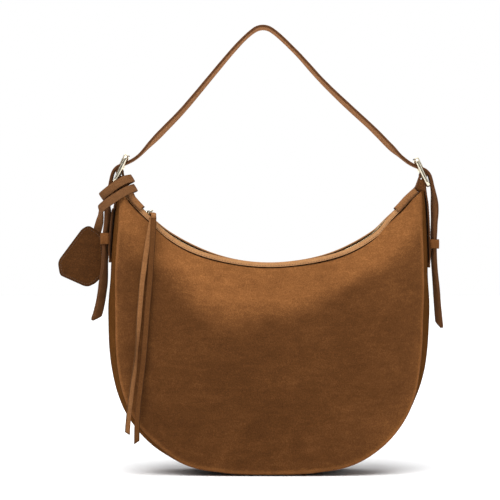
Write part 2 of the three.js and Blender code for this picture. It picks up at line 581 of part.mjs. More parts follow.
// ------------------------------------------------------------------ charm lace and tag
{
  // x, y, z and the direction of the lace's width
  const plane = [-0.53, 0, 0.85];
  const pts = [
    [-188, 16.2, 334.6, plane], [-178, 16.6, 341.2, plane], [-168.5, 16.2, 346, plane], [-162.6, 12.5, 348.4, plane],
    [-160.4, 6, 349.2, plane], [-160.4, -6, 348.8, plane], [-162.4, -13.2, 348.2, plane], [-168.5, -17.4, 346.8, plane],
    [-178, -18.6, 342.4, plane], [-188, -17.4, 335.6, plane], [-195, -13.6, 330.2, plane], [-198.6, -7, 327.6, plane],
    [-199.2, 1, 326.6, plane], [-198.4, 9, 326.6, plane], [-194.6, 16, 327.8, plane], [-188, 20.4, 329.8, plane],
    [-178, 21.4, 332.2, plane], [-168.5, 20.6, 334.4, plane], [-161, 16.4, 336.6, plane], [-156.8, 9.6, 337.8, plane],
    [-155.8, 1, 338, plane], [-156.4, -8, 337.4, plane], [-160.2, -15.4, 336, plane], [-167.6, -20.4, 333.2, plane],
    [-178, -22.2, 328, plane], [-188, -21.2, 321.4, plane], [-195.8, -16.4, 316, plane], [-199.8, -8.4, 312.6, plane],
    [-200.4, 0, 310.6, plane], [-200.6, 7.4, 307.4, [-0.45, 0.3, 0.84]], [-201.6, 13.0, 302.6, [-0.6, 0.65, 0.4]],
    [-203.2, 17.2, 297.2, [-0.9, 0.3, 0.2]], [-205.0, 18.9, 290.8, [-0.96, 0, 0.25]], [-207.0, 19.1, 283.4, [-0.96, 0, 0.25]],
    [-208.8, 19.1, 277.0, [-0.96, 0, 0.25]],
  ];
  const c = new THREE.CatmullRomCurve3(pts.map(([x, y, z]) => new THREE.Vector3(x, y, z)), false, 'centripetal');
  const n = 78;
  const path = [];
  const widths = [];
  for (let i = 0; i <= n; i++) {
    const t = i / n;
    path.push(c.getPoint(t));
    const f = t * (pts.length - 1);
    const k = Math.min(Math.floor(f), pts.length - 2);
    const a = new THREE.Vector3(...pts[k][3]);
    const b = new THREE.Vector3(...pts[k + 1][3]);
    widths.push(a.lerp(b, f - k).normalize());
  }
  add('charm_lace', ribbon(path, widths, LACE_W, LACE_T, 0.5), SUEDE, 0.95);
}
{
  add('tag_front', slab(TAG, TAG_Y, TAG_Y + TAG_T), 0x4a2e18, 0.95);
  add('tag_back', slab(TAG, TAG_Y + TAG_T + GAP, TAG_Y + 2 * TAG_T + GAP), 0x4a2e18, 0.95);
}

// ------------------------------------------------------------------ inner slip pocket
{
  const depth = LEATHER + LINING_GAP + LINING + GAP;
  const steps = 4;
  const mid = (last - 1) / 2;
  const rows = [];
  const rowsIn = [];
  for (let i = Math.floor(mid) - 3; i <= Math.ceil(mid) + 3; i++) {
    const a = [];
    const b = [];
    for (let j = 0; j <= steps; j++) {
      const v = 0.3 + 0.4 * j / steps;
      const [x, z] = place(i, v, LINING_INSET + LINING, PANEL_R + 2, ARC_PANEL - 1.2);
      const y = half(i, v) - depth - 0.4;
      a.push([x, y, z]);
      b.push([x, y - 1.2, z]);
    }
    rows.push(a);
    rowsIn.push(b);
  }
  add('inner_pocket', shell(rows, rowsIn), 0x6d4a2c, 0.9);
}

export default group;
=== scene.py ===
import bpy
import math
import numpy as np
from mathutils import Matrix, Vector, noise

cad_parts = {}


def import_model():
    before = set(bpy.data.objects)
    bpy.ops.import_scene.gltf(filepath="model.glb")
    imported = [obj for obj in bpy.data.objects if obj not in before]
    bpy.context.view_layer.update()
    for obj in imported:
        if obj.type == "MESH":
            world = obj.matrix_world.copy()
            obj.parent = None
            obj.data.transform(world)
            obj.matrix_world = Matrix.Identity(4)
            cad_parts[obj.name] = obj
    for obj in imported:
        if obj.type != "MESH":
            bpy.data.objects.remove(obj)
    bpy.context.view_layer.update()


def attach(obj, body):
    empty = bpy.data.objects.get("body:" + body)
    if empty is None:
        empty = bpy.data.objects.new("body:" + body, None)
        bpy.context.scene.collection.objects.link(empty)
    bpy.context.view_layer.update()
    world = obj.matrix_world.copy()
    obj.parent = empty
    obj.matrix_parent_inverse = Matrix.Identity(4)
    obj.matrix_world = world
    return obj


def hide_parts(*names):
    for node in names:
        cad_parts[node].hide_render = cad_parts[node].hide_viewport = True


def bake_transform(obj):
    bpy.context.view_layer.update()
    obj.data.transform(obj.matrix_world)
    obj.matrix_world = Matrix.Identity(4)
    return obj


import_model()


D2R = math.pi / 180

# ------------------------------------------------------------------ camera, lights, floor
scene = bpy.context.scene
scene.view_settings.view_transform = "Standard"
scene.view_settings.look = "None"

cam_data = bpy.data.cameras.new("camera")
cam = bpy.data.objects.new("camera", cam_data)
scene.collection.objects.link(cam)
CAM_D, CAM_H, CAM_NEAR = 2.3, 0.268, 0.024
cam.location = (-0.023, -CAM_D, CAM_H)
cam.rotation_euler = (math.radians(90), 0, 0)
cam_data.sensor_width = 36
cam_data.lens = 36 * (CAM_D - CAM_NEAR) / 0.5885
cam_data.shift_y = (0.2638 - CAM_H) / 0.5885
cam_data.clip_end = 50
scene.camera = cam


def light(name, loc, target, size, power, size_y=None, color=(1, 1, 1)):
    d = bpy.data.lights.new(name, "AREA")
    d.shape = "RECTANGLE"
    d.size = size
    d.size_y = size_y or size
    d.energy = power
    d.color = color
    o = bpy.data.objects.new(name, d)
    o.location = loc
    o.rotation_euler = (Vector(target) - Vector(loc)).to_track_quat("-Z", "Y").to_euler()
    scene.collection.objects.link(o)
    return o


sun_data = bpy.data.lights.new("sky_softbox", "SUN")
sun_data.energy = 3.2
sun_data.angle = math.radians(52)
sun = bpy.data.objects.new("sky_softbox", sun_data)
sun.rotation_euler = (math.radians(27), math.radians(-4), 0)
scene.collection.objects.link(sun)
light("key_left", (-1.5, -1.6, 1.7), (0, 0, 0.22), 1.1, 12)
light("fill_right", (1.8, -1.7, 0.9), (0, 0, 0.22), 1.2, 6)
light("back_top", (0.2, 1.5, 1.5), (0, 0.1, 0.2), 1.4, 10)

world = bpy.data.worlds.new("world")
scene.world = world
world.use_nodes = True
wn = world.node_tree.nodes
wl = world.node_tree.links
wn.clear()
w_out = wn.new("ShaderNodeOutputWorld")
w_mix = wn.new("ShaderNodeMixShader")
w_path = wn.new("ShaderNodeLightPath")
w_amb = wn.new("ShaderNodeBackground")
w_tc = wn.new("ShaderNodeTexCoord")
w_sep = wn.new("ShaderNodeSeparateXYZ")
w_ramp = wn.new("ShaderNodeValToRGB")
w_ramp.color_ramp.elements[0].position = 0.42
w_ramp.color_ramp.elements[0].color = (0.30, 0.31, 0.33, 1)
w_ramp.color_ramp.elements[1].position = 1.0
w_ramp.color_ramp.elements[1].color = (1.5, 1.52, 1.55, 1)
w_map = wn.new("ShaderNodeMapRange")
w_map.inputs["From Min"].default_value = -1.0
wl.new(w_tc.outputs["Generated"], w_sep.inputs[0])
wl.new(w_sep.outputs[2], w_map.inputs["Value"])
wl.new(w_map.outputs[0], w_ramp.inputs[0])
wl.new(w_ramp.outputs[0], w_amb.inputs[0])
w_amb.inputs[1].default_value = 0.38
w_cam = wn.new("ShaderNodeBackground")
w_cam.inputs[0].default_value = (1, 1, 1, 1)
w_cam.inputs[1].default_value = 1.0
wl.new(w_path.outputs["Is Camera Ray"], w_mix.inputs[0])
wl.new(w_amb.outputs[0], w_mix.inputs[1])
wl.new(w_cam.outputs[0], w_mix.inputs[2])
wl.new(w_mix.outputs[0], w_out.inputs[0])


# ------------------------------------------------------------------ materials
def srgb(r, g, b):
    def f(c):
        c /= 255
        return c / 12.92 if c <= 0.04045 else ((c + 0.055) / 1.055) ** 2.4
    return (f(r), f(g), f(b), 1)


class Tree:
    def __init__(self, name):
        self.mat = bpy.data.materials.new(name)
        self.mat.use_nodes = True
        self.t = self.mat.node_tree
        self.t.nodes.clear()
        self.out = self.n("ShaderNodeOutputMaterial")
        self.bsdf = self.n("ShaderNodeBsdfPrincipled")
        self.link(self.bsdf.outputs[0], self.out.inputs[0])

    def n(self, kind, **props):
        node = self.t.nodes.new(kind)
        for k, v in props.items():
            setattr(node, k, v)
        return node

    def link(self, a, b):
        self.t.links.new(a, b)

    def coords(self, kind="Object", scale=(1, 1, 1)):
        c = self.n("ShaderNodeTexCoord")
        m = self.n("ShaderNodeMapping")
        m.inputs["Scale"].default_value = scale
        self.link(c.outputs[kind], m.inputs["Vector"])
        return m.outputs[0]

    def noise(self, vec, scale, detail=2, rough=0.5, distort=0.0):
        n = self.n("ShaderNodeTexNoise")
        n.inputs["Scale"].default_value = scale
        n.inputs["Detail"].default_value = detail
        n.inputs["Roughness"].default_value = rough
        n.inputs["Distortion"].default_value = distort
        self.link(vec, n.inputs["Vector"])
        return n.outputs["Fac"]

    def ramp(self, fac, stops):
        r = self.n("ShaderNodeValToRGB")
        els = r.color_ramp.elements
        els[0].position, els[0].color = stops[0]
        els[1].position, els[1].color = stops[-1]
        for p, c in stops[1:-1]:
            e = els.new(p)
            e.color = c
        self.link(fac, r.inputs[0])
        return r.outputs[0]

    def mix(self, a, b, fac, mode="MIX"):
        m = self.n("ShaderNodeMix", data_type="RGBA", blend_type=mode)
        for sock, v in ((m.inputs[0], fac), (m.inputs[6], a), (m.inputs[7], b)):
            if isinstance(v, (int, float, tuple)):
                sock.default_value = v
            else:
                self.link(v, sock)
        return m.outputs[2]

    def math(self, op, a, b=0.0, c=0.0):
        m = self.n("ShaderNodeMath", operation=op)
        for sock, v in zip(m.inputs, (a, b, c)):
            if isinstance(v, (int, float)):
                sock.default_value = v
            else:
                self.link(v, sock)
        return m.outputs[0]

    def rng(self, fac, lo, hi, a=0.0, b=1.0):
        m = self.n("ShaderNodeMapRange")
        m.inputs["From Min"].default_value = lo
        m.inputs["From Max"].default_value = hi
        m.inputs["To Min"].default_value = a
        m.inputs["To Max"].default_value = b
        self.link(fac, m.inputs["Value"])
        return m.outputs[0]

    def attr(self, name):
        a = self.n("ShaderNodeAttribute", attribute_name=name)
        return a.outputs["Fac"]

    def bump(self, height, strength, distance, normal=None):
        b = self.n("ShaderNodeBump")
        b.inputs["Strength"].default_value = strength
        b.inputs["Distance"].default_value = distance
        self.link(height, b.inputs["Height"])
        if normal is not None:
            self.link(normal, b.inputs["Normal"])
        return b.outputs[0]

    def set(self, name, value):
        self.bsdf.inputs[name].default_value = value

    def to(self, name, out):
        self.link(out, self.bsdf.inputs[name])


def suede(name, base, deep, bright, edge=None, sheen=0.25, nap=1.0, blotch=1.0, painted_light_and_nap=False, spec=0.06):
    """Brushed suede: clouds where the nap lies either way, faint brush marks, short fibres, inked edges, painted shade
    in grooves through the edge attribute, and an optional painted highlight lift.
    """
    t = Tree(name)
    o = t.coords()
    big = t.noise(o, 9, 3, 0.5, 0.6)
    mid = t.noise(t.coords(scale=(0.8, 1.0, 1.15)), 34, 4, 0.6, 0.9)
    brush = t.noise(t.coords(scale=(0.35, 1.0, 1.0)), 150, 3, 0.55, 0.8)
    grain = t.noise(o, 640, 3, 0.75)
    fibre = t.noise(t.coords(scale=(1.0, 1.0, 0.5)), 1900, 2, 0.6)
    f = t.math("MULTIPLY_ADD", t.rng(big, 0.3, 0.7, -0.5, 0.5), 0.22 * blotch, 0.48)
    f = t.math("MULTIPLY_ADD", t.rng(mid, 0.25, 0.75, -0.5, 0.5), 0.14 * blotch, f)
    f = t.math("MULTIPLY_ADD", t.rng(brush, 0.25, 0.75, -0.5, 0.5), 0.24, f)
    f = t.math("MULTIPLY_ADD", t.rng(grain, 0.25, 0.75, -0.5, 0.5), 0.6 * nap, f)
    f = t.math("MULTIPLY_ADD", t.rng(fibre, 0.2, 0.8, -0.5, 0.5), 0.3 * nap, f)
    col = t.ramp(f, [(0.05, deep), (0.5, base), (0.95, bright)])
    if painted_light_and_nap:
        # painted highlight: an attribute lifts the colour under the zip and along the seams, where the light falls,
        # with a little random nap variation
        k = t.attr("painted_light_and_nap")
        k = t.math("ADD", k, t.rng(mid, 0.3, 0.7, -0.04, 0.04))
        lift = t.mix((1.0, 1.0, 1.0, 1), (2.35, 2.45, 2.6, 1), k)
        col = t.mix(col, lift, 1.0, "MULTIPLY")
    if edge is not None:
        e = t.attr("edge")
        e2 = t.math("MULTIPLY", e, t.rng(t.noise(o, 320, 3), 0.2, 0.6, 0.7, 1.0))
        col = t.mix(col, edge, e2)
    t.to("Base Color", col)
    t.to("Roughness", t.rng(grain, 0.3, 0.7, 0.86, 0.98))
    t.set("Sheen Weight", sheen)
    t.set("Sheen Roughness", 0.5)
    t.set("Sheen Tint", (base[0] * 2.2, base[1] * 2.0, base[2] * 2.0, 1))
    t.set("Specular IOR Level", spec)
    b1 = t.bump(mid, 0.22, 0.0008)
    b2 = t.bump(brush, 0.2, 0.0003, b1)
    b3 = t.bump(t.math("ADD", grain, t.math("MULTIPLY", fibre, 0.6)), 0.75 * nap, 0.00026, b2)
    t.to("Normal", b3)
    return t.mat


def metal(name, base, rough=0.2):
    t = Tree(name)
    o = t.coords()
    s = t.noise(t.coords(scale=(1, 0.15, 1)), 900, 3, 0.6)
    w = t.noise(o, 160, 3, 0.5)
    t.to("Base Color", t.ramp(w, [(0.3, base), (0.75, tuple(c * 0.9 for c in base[:3]) + (1,))]))
    t.set("Metallic", 1.0)
    t.to("Roughness", t.rng(s, 0.3, 0.75, rough * 0.75, rough * 1.5))
    t.to("Normal", t.bump(s, 0.06, 0.00008))
    return t.mat


def woven(name, a, b, pitch, rough=0.85):
    """Plain weave in the mesh's own UV, in millimetres."""
    t = Tree(name)
    c = t.n("ShaderNodeUVMap")
    sep = t.n("ShaderNodeSeparateXYZ")
    t.link(c.outputs[0], sep.inputs[0])
    k = math.pi / pitch
    x = t.math("SINE", t.math("MULTIPLY", sep.outputs[0], k))
    y = t.math("SINE", t.math("MULTIPLY", sep.outputs[1], k))
    w = t.math("MULTIPLY", x, y)
    n = t.noise(t.coords(), 90, 4, 0.6)
    f = t.math("MULTIPLY_ADD", w, 0.28, t.rng(n, 0.2, 0.8, 0.25, 0.75))
    t.to("Base Color", t.ramp(f, [(0.1, a), (0.9, b)]))
    t.set("Roughness", rough)
    t.set("Sheen Weight", 0.15)
    t.to("Normal", t.bump(w, 0.5, 0.0002))
    return t.mat


SUEDE = suede("suede_tan", srgb(80, 48, 22), srgb(61, 35, 14), srgb(106, 67, 34), edge=srgb(74, 45, 21), sheen=0.13, painted_light_and_nap=True)
SUEDE_GUSSET = suede("suede_gusset", srgb(84, 51, 22), srgb(66, 39, 16), srgb(108, 68, 34), edge=srgb(50, 30, 14), sheen=0.03, spec=0.0)
SUEDE_STRAP = suede("suede_strap", srgb(106, 71, 43), srgb(86, 56, 32), srgb(130, 91, 58), edge=srgb(74, 46, 27), sheen=0.14, nap=0.6, blotch=0.6, painted_light_and_nap=True)
# suede_facing's dark edge colour is painted shade for the groove over the panel and the wall beside the zip
SUEDE_EDGE = suede("suede_facing", srgb(160, 116, 76), srgb(138, 97, 61), srgb(182, 138, 97), edge=srgb(36, 22, 12), sheen=0.14, blotch=0.5)
SUEDE_KEEPER = suede("suede_keeper", srgb(102, 63, 32), srgb(82, 49, 23), srgb(128, 83, 46), edge=srgb(64, 40, 21), sheen=0.14, blotch=0.5)
# lit and shaded copies of the thong suede: the lighter one is painted light, also used on the fold and the saddles, the
# darker one painted shade
SUEDE_THONG = suede("suede_thong", srgb(130, 88, 53), srgb(104, 68, 38), srgb(158, 112, 72), edge=srgb(70, 45, 25), sheen=0.14, blotch=0.5)
SUEDE_THONG_SHADED = suede("suede_thong_painted_shade", srgb(86, 53, 26), srgb(68, 41, 19), srgb(108, 69, 38), edge=srgb(58, 36, 19), sheen=0.13, blotch=0.5)
SUEDE_SHADE = suede("suede_painted_shade", srgb(48, 30, 17), srgb(36, 22, 12), srgb(62, 40, 24), edge=srgb(36, 22, 12), sheen=0.1, blotch=0.4)
SUEDE_TAG = suede("suede_tag", srgb(72, 43, 19), srgb(52, 30, 12), srgb(98, 61, 31), edge=srgb(46, 28, 14), sheen=0.12, blotch=0.8)
GOLD = metal("pale_gold", srgb(232, 222, 198), 0.16)
RING_GOLD = metal("polished_gold_ring", srgb(112, 98, 72), 0.2)
GOLD_DARK = metal("aged_gold_teeth", srgb(206, 186, 146), 0.28)
LINING = woven("lining_cotton", srgb(92, 66, 42), srgb(126, 96, 66), 0.9)
# dark brown tape, darkened further as painted shade for the zip's gap between the facings
TAPE = woven("zip_tape_weave", srgb(58, 38, 24), srgb(84, 58, 37), 0.55)


def thread_material():
    t = Tree("thread")
    n = t.noise(t.coords(), 1800, 2)
    t.to("Base Color", t.ramp(n, [(0.3, srgb(60, 37, 20)), (0.7, srgb(86, 56, 32))]))
    t.set("Roughness", 0.6)
    t.set("Sheen Weight", 0.2)
    t.to("Normal", t.bump(n, 0.4, 0.0001))
    return t.mat


THREAD = thread_material()


# ------------------------------------------------------------------ mesh helpers (millimetres in, metres out)
def mesh_obj(name, verts, faces, mat, uv=None, edge=None, smooth_angle=38, painted_light_and_nap=None):
    me = bpy.data.meshes.new(name)
    v = np.asarray(verts, float) / 1000.0
    me.from_pydata(v.tolist(), [], [tuple(int(i) for i in f) for f in faces])
    me.update()
    if uv is not None:
        layer = me.uv_layers.new(name="UVMap")
        loops = np.zeros(len(me.loops), np.int32)
        me.loops.foreach_get("vertex_index", loops)
        layer.data.foreach_set("uv", np.asarray(uv, np.float32)[loops].ravel())
    if edge is not None:
        a = me.attributes.new("edge", "FLOAT", "POINT")
        a.data.foreach_set("value", np.asarray(edge, np.float32))
    if painted_light_and_nap is not None:
        a = me.attributes.new("painted_light_and_nap", "FLOAT", "POINT")
        a.data.foreach_set("value", np.asarray(painted_light_and_nap, np.float32))
    me.shade_smooth()
    me.set_sharp_from_angle(angle=smooth_angle * D2R)
    o = bpy.data.objects.new(name, me)
    scene.collection.objects.link(o)
    me.materials.append(mat)
    # faces out
    import bmesh
    bm = bmesh.new()
    bm.from_mesh(me)
    bmesh.ops.recalc_face_normals(bm, faces=bm.faces)
    bm.to_mesh(me)
    bm.free()
    return o


def catmull(points, n):
    """Centripetal Catmull-Rom through points, resampled evenly to n + 1 points."""
    p = np.asarray(points, float)
    p = np.vstack([2 * p[0] - p[1], p, 2 * p[-1] - p[-2]])
    out = []
    for i in range(1, len(p) - 2):
        p0, p1, p2, p3 = p[i - 1], p[i], p[i + 1], p[i + 2]
        t0 = 0.0
        t1 = t0 + max(np.linalg.norm(p1 - p0), 1e-6) ** 0.5
        t2 = t1 + max(np.linalg.norm(p2 - p1), 1e-6) ** 0.5
        t3 = t2 + max(np.linalg.norm(p3 - p2), 1e-6) ** 0.5
        t = np.linspace(t1, t2, 14, endpoint=False)[:, None]
        a1 = (t1 - t) / (t1 - t0) * p0 + (t - t0) / (t1 - t0) * p1
        a2 = (t2 - t) / (t2 - t1) * p1 + (t - t1) / (t2 - t1) * p2
        a3 = (t3 - t) / (t3 - t2) * p2 + (t - t2) / (t3 - t2) * p3
        b1 = (t2 - t) / (t2 - t0) * a1 + (t - t0) / (t2 - t0) * a2
        b2 = (t3 - t) / (t3 - t1) * a2 + (t - t1) / (t3 - t1) * a3
        out.append((t2 - t) / (t2 - t1) * b1 + (t - t1) / (t2 - t1) * b2)
    out = np.vstack(out + [p[-2][None]])
    return resample(out, n)


def resample(p, n):
    s = np.concatenate([[0], np.cumsum(np.linalg.norm(np.diff(p, axis=0), axis=1))])
    t = np.linspace(0, s[-1], n + 1)
    return np.stack([np.interp(t, s, p[:, k]) for k in range(p.shape[1])], 1)


def rounded(w, t, r, k=3, flat=3, crown=0.0):
    """Section of a strip, w across and t thick, with round edges: points s, t and how near each is to an edge."""
    pts = []
    for cx, cy, a0 in ((w / 2 - r, t / 2 - r, 0), (-w / 2 + r, t / 2 - r, 90), (-w / 2 + r, -t / 2 + r, 180), (w / 2 - r, -t / 2 + r, 270)):
        for j in range(k + 1):
            a = (a0 + 90 * j / k) * D2R
            pts.append((cx + r * math.cos(a), cy + r * math.sin(a)))
        if a0 in (0, 180):
            sgn = 1 if a0 == 0 else -1
            for j in range(1, flat + 1):
                f = j / (flat + 1)
                s = sgn * (w / 2 - r) * (1 - 2 * f)
                pts.append((s, sgn * (t / 2 + crown * math.sin(math.pi * f))))
    pts = np.array(pts)
    near = np.clip((np.abs(pts[:, 0]) - (w / 2 - max(r, 0.6))) / max(r, 0.6), 0, 1)
    return pts, near


def frames(path, widths, closed=False):
    p = np.asarray(path, float)
    if closed:
        tan = np.roll(p, -1, 0) - np.roll(p, 1, 0)
    else:
        tan = np.gradient(p, axis=0)
    tan /= np.linalg.norm(tan, axis=1)[:, None]
    w = np.asarray(widths, float)
    if w.ndim == 1:
        w = np.tile(w, (len(p), 1))
    w = w - (w * tan).sum(1)[:, None] * tan
    w /= np.linalg.norm(w, axis=1)[:, None]
    return tan, w, np.cross(tan, w)


def sweep(name, path, widths, section, mat, near=None, closed=False, scale=None, twist=None, wobble=0.0, seed=0.0, cut=0.0, painted_light_and_nap=None):
    p = np.asarray(path, float)
    tan, w, nrm = frames(p, widths, closed)
    if twist is not None:
        c, s = np.cos(twist)[:, None], np.sin(twist)[:, None]
        w, nrm = w * c + nrm * s, nrm * c - w * s
    n, m = len(p), len(section)
    sc = np.ones(n) if scale is None else np.asarray(scale, float)
    s = section[:, 0][None, :] * sc[:, None]
    t = section[:, 1][None, :] * np.ones(n)[:, None]
    along = np.concatenate([[0], np.cumsum(np.linalg.norm(np.diff(p, axis=0), axis=1))])
    if wobble:
        for i in range(n):
            k = noise.noise(Vector((along[i] / 23.0, seed, 1.7)))
            k2 = noise.noise(Vector((along[i] / 9.0, seed + 5, 4.1)))
            s[i] = s[i] * (1 + 0.02 * k2)
            t[i] = t[i] + wobble * k * (section[:, 0] / np.abs(section[:, 0]).max())
    v = p[:, None, :] + w[:, None, :] * s[:, :, None] + nrm[:, None, :] * t[:, :, None]
    if cut and not closed:
        # the ends are cut at a slant: cut is for the far end, or a pair for both
        c0, c1 = cut if isinstance(cut, tuple) else (0.0, cut)
        span = along[-1] / (n - 1)
        for c_, end in ((c0, 0), (c1, n - 1)):
            k_ = int(math.ceil(2.5 * abs(c_) / span)) + 1
            for q in range(k_ if c_ else 0):
                i = end - q if end else q
                v[i] += tan[i][None, :] * (section[:, 0] / np.abs(section[:, 0]).max() * c_ * (1 - q / k_))[:, None]
    v = v.reshape(-1, 3)
    per = np.concatenate([[0], np.cumsum(np.linalg.norm(np.diff(section, axis=0), axis=1))])
    uv = np.stack([np.repeat(along, m), np.tile(per, n)], 1)
    faces = []
    for i in range(n if closed else n - 1):
        a = i * m
        b = ((i + 1) % n) * m
        for j in range(m):
            k = (j + 1) % m
            faces.append((a + j, a + k, b + k, b + j))
    if not closed:
        faces.append(tuple(range(m))[::-1])
        faces.append(tuple((n - 1) * m + j for j in range(m)))
    e = None
    if near is not None:
        e = np.tile(near, n)
        if not closed:
            e[:m] = 1
            e[-m:] = 1
    return mesh_obj(name, v, faces, mat, uv, e, painted_light_and_nap=None if painted_light_and_nap is None else (np.full(len(v), painted_light_and_nap) if np.isscalar(painted_light_and_nap) else np.repeat(np.asarray(painted_light_and_nap, float), m)))


def grid_shell(name, outer, inner, mat, uv=None, edge=None, painted_light_and_nap=None):
    """A closed shell between two equal grids of points."""
    outer, inner = np.asarray(outer, float), np.asarray(inner, float)
    r, c = outer.shape[:2]
    v = np.vstack([outer.reshape(-1, 3), inner.reshape(-1, 3)])
    idx = np.arange(r * c).reshape(r, c)
    faces = []
    for i in range(r - 1):
        for j in range(c - 1):
            faces.append((idx[i, j], idx[i + 1, j], idx[i + 1, j + 1], idx[i, j + 1]))
            faces.append((r * c + idx[i, j], r * c + idx[i, j + 1], r * c + idx[i + 1, j + 1], r * c + idx[i + 1, j]))
    rim = list(idx[0, :-1]) + list(idx[:-1, -1]) + list(idx[-1, :0:-1]) + list(idx[:0:-1, 0])
    for k in range(len(rim)):
        a, b = rim[k], rim[(k + 1) % len(rim)]
        faces.append((a, b, b + r * c, a + r * c))
    if uv is not None:
        uv = np.vstack([uv, uv])
    if edge is not None:
        edge = np.concatenate([edge, edge])
    if painted_light_and_nap is not None:
        painted_light_and_nap = np.concatenate([painted_light_and_nap, painted_light_and_nap])
    return mesh_obj(name, v, faces, mat, uv, edge, 50, painted_light_and_nap)


def stitches(name, path, normals, pitch=3.4, length=2.5, radius=0.28, lift=-0.02, mat=None):
    """Small domed stitches laid along a line, each half sunk in the leather."""
    p = np.asarray(path, float)
    nr = np.asarray(normals, float)
    if nr.ndim == 1:
        nr = np.tile(nr, (len(p), 1))
    s = np.concatenate([[0], np.cumsum(np.linalg.norm(np.diff(p, axis=0), axis=1))])
    count = max(1, int(s[-1] / pitch))
    verts, faces = [], []
    for k in range(count):
        mid = (k + 0.5) * s[-1] / count
        ring0 = len(verts)
        fr = (-0.5, -0.38, -0.15, 0.15, 0.38, 0.5)
        for f in fr:
            q = mid + f * length
            c = np.array([np.interp(q, s, p[:, a]) for a in range(3)])
            n = np.array([np.interp(q, s, nr[:, a]) for a in range(3)])
            n /= np.linalg.norm(n)
            d = np.array([np.interp(q + 0.2, s, p[:, a]) - np.interp(q - 0.2, s, p[:, a]) for a in range(3)])
            if np.linalg.norm(d) < 1e-9:
                d = p[1] - p[0]
            d /= np.linalg.norm(d)
            side = np.cross(d, n)
            side /= np.linalg.norm(side)
            r = radius * math.sqrt(max(0.08, 1 - (2 * f) ** 2))
            sink = lift * (1 - (2 * f) ** 2) - 0.12
            for a in range(6):
                w = a * math.pi / 3
                verts.append(c + n * (sink + r * math.sin(w)) + side * r * math.cos(w))
        for i in range(5):
            for a in range(6):
                b = (a + 1) % 6
                faces.append((ring0 + i * 6 + a, ring0 + i * 6 + b, ring0 + (i + 1) * 6 + b, ring0 + (i + 1) * 6 + a))
        faces.append(tuple(ring0 + a for a in range(5, -1, -1)))
        faces.append(tuple(ring0 + 30 + a for a in range(6)))
    return mesh_obj(name, verts, faces, mat or THREAD)


def join(name, objs):
    import bmesh
    bm = bmesh.new()
    for o in objs:
        bm.from_mesh(o.data)
    me = bpy.data.meshes.new(name)
    bm.to_mesh(me)
    bm.free()
    for m in objs[0].data.materials:
        me.materials.append(m)
    for o in objs:
        bpy.data.objects.remove(o)
    new = bpy.data.objects.new(name, me)
    scene.collection.objects.link(new)
    return new


# ------------------------------------------------------------------ pull thongs: two free flat cords
THONG_W, THONG_T = 6.5, 2.2
THONG_RIGHT = [[-136.6, -19.0, 302.2], [-136.7, -22.4, 296], [-136.9, -27.2, 287.5], [-137.4, -32.4, 276.5],
               [-138.2, -37.0, 263], [-139.3, -40.6, 247.5], [-140.4, -43.9, 230], [-141.8, -47.5, 211.5], [-143.2, -50.9, 192],
               [-144.6, -53.8, 171], [-146.2, -55.4, 149], [-148.4, -55.8, 126], [-151, -55.6, 103], [-153.4, -55.2, 80],
               [-154.9, -54.8, 58], [-155.3, -54.4, 37.2]]
THONG_LEFT = [[-138.9, -15.8, 300.6], [-139.6, -19.2, 295], [-141.1, -24.2, 286.5], [-143.6, -29.6, 275.5],
              [-146.3, -34.8, 262], [-149.2, -39.8, 246.5], [-151.6, -44.4, 229], [-153.2, -48.2, 210.5], [-154.6, -51.5, 191],
              [-156, -54, 170], [-157.6, -55.4, 148], [-159.8, -55.6, 125], [-162.9, -55.3, 102], [-165.7, -54.9, 79.5],
              [-167.6, -54.6, 60], [-168.4, -54.3, 47.8]]
for key, pts, tw in (("right", THONG_RIGHT, 0.18), ("left", THONG_LEFT, -0.55)):
    path = catmull(pts, 150)
    s = np.linspace(0, 1, len(path))
    # the left thong rolls onto its edge half way down
    roll = np.exp(-((path[:, 2] - 146) / 27.0) ** 2) if tw < 0 else np.zeros(len(path))
    easing = np.clip((292 - path[:, 2]) / 50.0, 0, 1)
    path[:, 0] += (3.0 if tw < 0 else 0.8) * easing
    path[:, 1] -= 1.4 * roll
    path[:, 2] += 3.0 * np.clip((200 - path[:, 2]) / 160.0, 0, 1)
    sec, near = rounded(THONG_W, THONG_T, 0.7, 3, 4, 0.12)
    twist = tw * np.sin(s * math.pi * 0.9) * np.clip(s * 3, 0, 1) - 0.75 * roll - (0.45 if tw < 0 else -0.25) * np.clip((130 - path[:, 2]) / 60.0, 0, 1)
    # painted light: the left thong takes the lighter copy, the right thong the painted-shade copy
    o = sweep(f"pull_thong_{key}", path, (1, 0, 0), sec, SUEDE_THONG if tw < 0 else SUEDE_THONG_SHADED, near, twist=twist, wobble=0.22,
              seed=3.0 if tw > 0 else 9.0, cut=-2.2 if tw > 0 else 1.8)
    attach(o, "pull")
    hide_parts(f"thong_{key}")

# ------------------------------------------------------------------ the bag's form
LEATHER = 2.2
SEAM_TOP, SEAM_BASE, CORNER_Z = 14.0, 45.0, 336.0
BULGE_CORNER, BULGE_BASE = 4.0, 13.0
ZIP_HALF, ARC_Z, ARC_R, PANEL_R, ARC_PANEL = 12.6, 462.0, 212.4, 218.4, 50.0



def zip_roll(ang):
    """The zip rolls forwards in two places: 1 where its front edge droops most, ang from -1 to 1 along the arc."""
    ang = np.asarray(ang, float)
    return (np.exp(-((ang + 0.50) / 0.2) ** 2) + np.exp(-((ang - 0.52) / 0.23) ** 2)) * smooth(0.8 - np.abs(ang), 0, 0.14)


